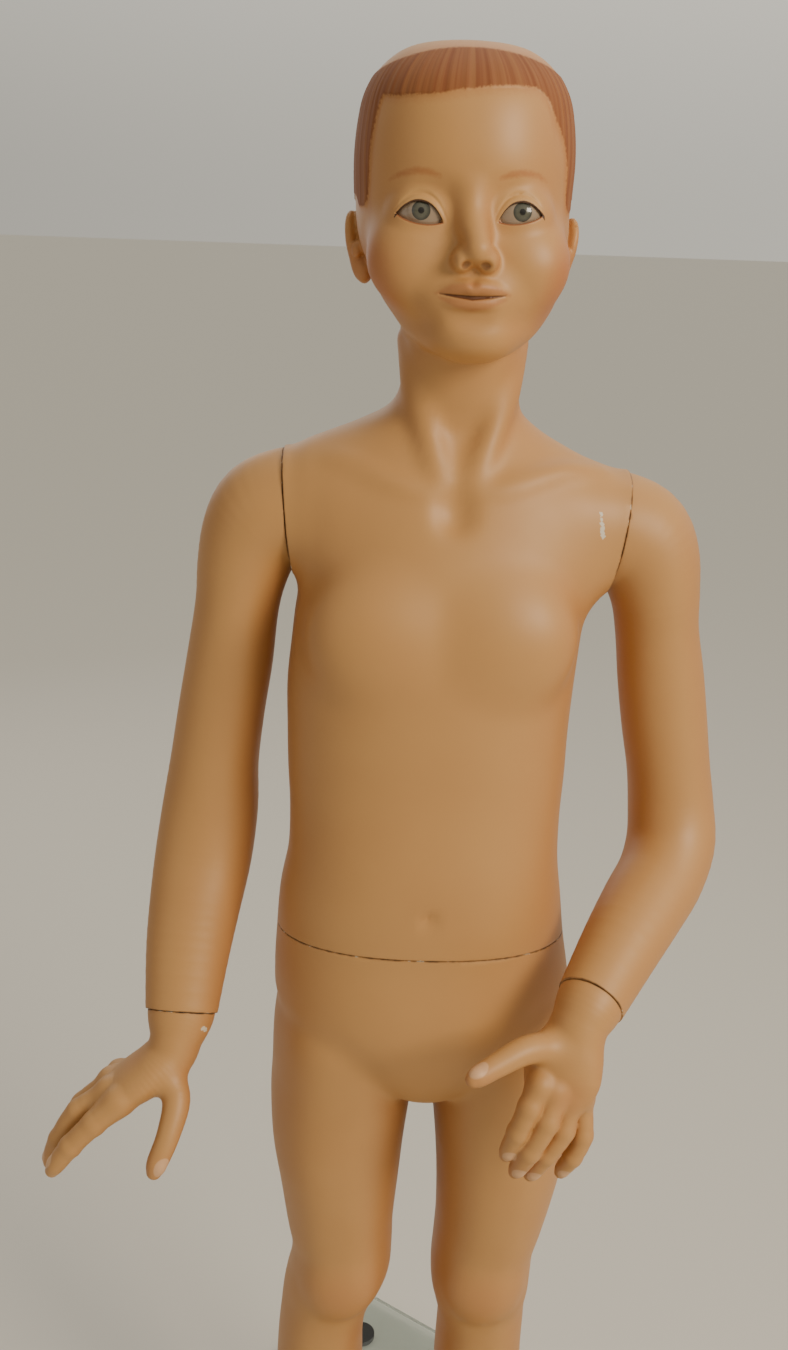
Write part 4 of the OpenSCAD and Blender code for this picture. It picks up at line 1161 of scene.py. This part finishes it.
# %% Iris, rim and pupil, by distance from the middle of the iris
# the fibres' width where they meet the rim: real ones are finer, and these are wide enough to show
FIBRE_MM = 0.556
axes = add_node(tree, "SeparateXYZ", {"Vector": place})
flat = add_node(tree, "CombineXYZ", {"X": axes.outputs["X"], "Z": axes.outputs["Z"]}).outputs[0]
reach = add_node(tree, "VectorMath", {0: flat}, operation="LENGTH").outputs["Value"]
aim = add_node(tree, "VectorMath", {0: flat}, operation="NORMALIZE").outputs["Vector"]
fibres = add_node(tree, "TexNoise", {"Vector": aim, "Scale": IRIS_R / FIBRE_MM, "Detail": 4.0}).outputs["Fac"]
iris_tone = add_node(tree, "Mix", {0: fibres, 6: paint_card(IRIS), 7: paint_card(IRIS_HEART)},
                     data_type="RGBA").outputs[2]
iris = add_node(tree, "MapRange", {"Value": reach, "From Min": IRIS_R * MM,
                                   "From Max": (IRIS_R - 0.35) * MM}).outputs["Result"]
rim_inside = add_node(tree, "MapRange", {"Value": reach, "From Min": (IRIS_R - 2.0) * MM,
                                         "From Max": (IRIS_R - 0.3) * MM,
                                         "To Max": 0.85}).outputs["Result"]
rim_outside = add_node(tree, "MapRange", {"Value": reach, "From Min": IRIS_R * MM,
                                          "From Max": (IRIS_R - 0.4) * MM}).outputs["Result"]
rim = add_node(tree, "Math", {0: rim_inside, 1: rim_outside}, operation="MULTIPLY").outputs[0]
pupil = add_node(tree, "MapRange", {"Value": reach, "From Min": (PUPIL_R + 0.3) * MM,
                                    "From Max": (PUPIL_R - 0.1) * MM}).outputs["Result"]
for cover, layer in ((iris, iris_tone), (rim, paint_card(IRIS_RIM)), (pupil, paint_card(PUPIL))):
    tone = add_node(tree, "Mix", {0: cover, 6: tone, 7: layer}, data_type="RGBA").outputs[2]
tree.links.new(tone, surface.inputs["Base Color"])
surface.inputs["Roughness"].default_value = 0.16
surface.inputs["Coat Weight"].default_value = 0.6
surface.inputs["Coat Roughness"].default_value = 0.08
print("iris", 2 * IRIS_R, "mm across, pupil", 2 * PUPIL_R)


# %% Eye caps
CAP_RINGS, CAP_SPOKES, CAP_R = 28, 64, 15.0
BULGE_R, BULGE_HEIGHT = 5.4, 0.7


def eye_cap(side):
    """A polar grid on the eyeball around its iris, with the clear bulge over the iris."""
    half_w, depth, half_h = EYEBALL
    turn = math.radians(eye_turn(side))
    centre = eye_centre(side)
    iris = np.array([EYES[side]["iris"][0], 0, EYES[side]["iris"][1]])
    offset = np.array([iris[0] - centre[0], 0, iris[2] - centre[2]])
    points, faces = [], []
    for ring in range(CAP_RINGS + 1):
        r = CAP_R * ring / CAP_RINGS
        for spoke in range(CAP_SPOKES):
            angle = 2 * math.pi * spoke / CAP_SPOKES
            x, z = offset[0] + r * math.cos(angle), offset[2] + r * math.sin(angle)
            inside = 1 - (x / half_w) ** 2 - (z / half_h) ** 2
            y = -depth * math.sqrt(max(inside, 0.02)) - BULGE_HEIGHT * max(0, 1 - (r / BULGE_R) ** 2)
            points.append((x * math.cos(turn) - y * math.sin(turn) - offset[0],
                           x * math.sin(turn) + y * math.cos(turn), z - offset[2]))
    for ring in range(CAP_RINGS):
        for spoke in range(CAP_SPOKES):
            a = ring * CAP_SPOKES + spoke
            b = ring * CAP_SPOKES + (spoke + 1) % CAP_SPOKES
            faces.append((a, b, b + CAP_SPOKES, a + CAP_SPOKES))
    mesh = bpy.data.meshes.new(side + "_eye")
    mesh.from_pydata([tuple(c * MM for c in point) for point in points], [], faces)
    bm = bmesh.new()
    bm.from_mesh(mesh)
    bmesh.ops.remove_doubles(bm, verts=bm.verts, dist=1e-7)
    bm.to_mesh(mesh)
    bm.free()
    mesh.shade_smooth()
    piece = finish_piece(side + "_eye", mesh, "torso", eye_paint)
    return piece, centre + offset


for side in SIDE:
    piece, middle = eye_cap(side)
    piece.matrix_world = Matrix.Translation(Vector(middle) * MM)
    print(piece.name, "sits at", [round(float(c), 1) for c in middle])

# %% [markdown]
# ## Fittings and base
# The closing boards, plates, pegs, screws, the rod and the base keep the frame's own shapes, which
# are right. They get a small bevel, because a real edge always catches a line of light, and their
# real finishes: birch plywood, zinc-plated steel, moulded rubber and tempered glass.

# %% Zinc-plated steel, turned and brushed: a grey that clouds over about a centimetre, and scratches
# real scratches are finer, and these are wide enough to show
BRUSH_MM, CLOUDING_MM = 0.8, 9
plated_steel, tree, surface = new_material("zinc_plated_steel")
place = add_node(tree, "TexCoord").outputs["Object"]
drawn = add_node(tree, "Mapping", {"Vector": place, "Scale": (1.0, 1.0, 0.08)}).outputs["Vector"]
brush = add_node(tree, "TexNoise", {"Vector": drawn, "Scale": 1000 / BRUSH_MM, "Detail": 2.0})
clouding = add_node(tree, "TexNoise", {"Vector": place, "Scale": 1000 / CLOUDING_MM, "Detail": 3.0})
tone = add_node(tree, "Mix", {0: clouding.outputs["Fac"], 6: paint_card("#c9cacb"),
                              7: paint_card("#9c9fa3")}, data_type="RGBA").outputs[2]
tree.links.new(tone, surface.inputs["Base Color"])
rough = add_node(tree, "MapRange", {"Value": brush.outputs["Fac"], "To Min": 0.2, "To Max": 0.42})
tree.links.new(rough.outputs["Result"], surface.inputs["Roughness"])
surface.inputs["Metallic"].default_value = 1.0
bump = add_node(tree, "Bump", {"Height": brush.outputs["Fac"], "Strength": 0.12, "Distance": 0.0002})
tree.links.new(bump.outputs["Normal"], surface.inputs["Normal"])
print(plated_steel.name, "has scratches", BRUSH_MM, "mm apart")

# %% Bare birch plywood: pale, dry, with long fine grain
GRAIN_MM = 1.6
birch, tree, surface = new_material("bare_birch_plywood")
place = add_node(tree, "TexCoord").outputs["Object"]
drawn = add_node(tree, "Mapping", {"Vector": place, "Scale": (0.08, 1.0, 1.0)}).outputs["Vector"]
grain = add_node(tree, "TexNoise", {"Vector": drawn, "Scale": 1000 / GRAIN_MM, "Detail": 5.0,
                                    "Distortion": 0.6})
tone = add_node(tree, "Mix", {0: grain.outputs["Fac"], 6: paint_card("#b99565"),
                              7: paint_card("#d8b98a")}, data_type="RGBA").outputs[2]
tree.links.new(tone, surface.inputs["Base Color"])
surface.inputs["Roughness"].default_value = 0.72
bump = add_node(tree, "Bump", {"Height": grain.outputs["Fac"], "Strength": 0.2, "Distance": 0.0003})
tree.links.new(bump.outputs["Normal"], surface.inputs["Normal"])
print(birch.name, "has grain", GRAIN_MM, "mm wide")

# %% Black moulded rubber: dull, with a grey bloom in patches
BLOOM_MM = 4.0
rubber, tree, surface = new_material("black_moulded_rubber")
place = add_node(tree, "TexCoord").outputs["Object"]
bloom = add_node(tree, "TexNoise", {"Vector": place, "Scale": 1000 / BLOOM_MM, "Detail": 4.0})
tone = add_node(tree, "Mix", {0: bloom.outputs["Fac"], 6: paint_card("#1b1a19"),
                              7: paint_card("#343230")}, data_type="RGBA").outputs[2]
tree.links.new(tone, surface.inputs["Base Color"])
surface.inputs["Roughness"].default_value = 0.78
bump = add_node(tree, "Bump", {"Height": bloom.outputs["Fac"], "Strength": 0.15, "Distance": 0.0004})
tree.links.new(bump.outputs["Normal"], surface.inputs["Normal"])
print(rubber.name, "has patches of bloom", BLOOM_MM, "mm wide")

# %% Tempered glass: clear and faintly smudged from above, green at its polished edges
SMUDGE_MM = 60.0
glass, tree, surface = new_material("tempered_glass")
facing = add_node(tree, "NewGeometry").outputs["True Normal"]
upward = add_node(tree, "SeparateXYZ", {"Vector": facing}).outputs["Z"]
level = add_node(tree, "Math", {0: upward}, operation="ABSOLUTE").outputs[0]
tone = add_node(tree, "Mix", {0: level, 6: paint_card("#8fbfae"), 7: paint_card("#eef6f2")},
                data_type="RGBA").outputs[2]
tree.links.new(tone, surface.inputs["Base Color"])
place = add_node(tree, "TexCoord").outputs["Object"]
smudge = add_node(tree, "TexNoise", {"Vector": place, "Scale": 1000 / SMUDGE_MM, "Detail": 4.0})
haze = add_node(tree, "MapRange", {"Value": smudge.outputs["Fac"], "To Max": 0.09}).outputs["Result"]
tree.links.new(haze, surface.inputs["Roughness"])
surface.inputs["IOR"].default_value = 1.52
surface.inputs["Transmission Weight"].default_value = 1.0
print(glass.name, "has smudges about", SMUDGE_MM, "mm wide")

# %% Each fitting gets its finish and its bevel
FINISHES = {  # the finish, and the width of the bevel in mm
    "fitting_steel": (plated_steel, 0.3), "base_rubber": (rubber, 0.5), "closing_board": (birch, 0.4),
    "base_glass": (glass, 1.0), "shell_paint": (shell_paint, 0)}
slots = {part["node"]: part["material_slot"] for part in frame["record"]["subparts"]}
for name, node in frame["nodes"].items():
    finish, bevel = FINISHES[slots[name]]
    node.data.materials.clear()
    node.data.materials.append(finish)
    if bevel and not node.hide_render:
        edge = node.modifiers.new("edge", "BEVEL")
        edge.width = bevel * MM
        edge.segments = 2
        edge.limit_method = "ANGLE"
        edge.angle_limit = math.radians(40)
print("fittings finished:", len(slots))
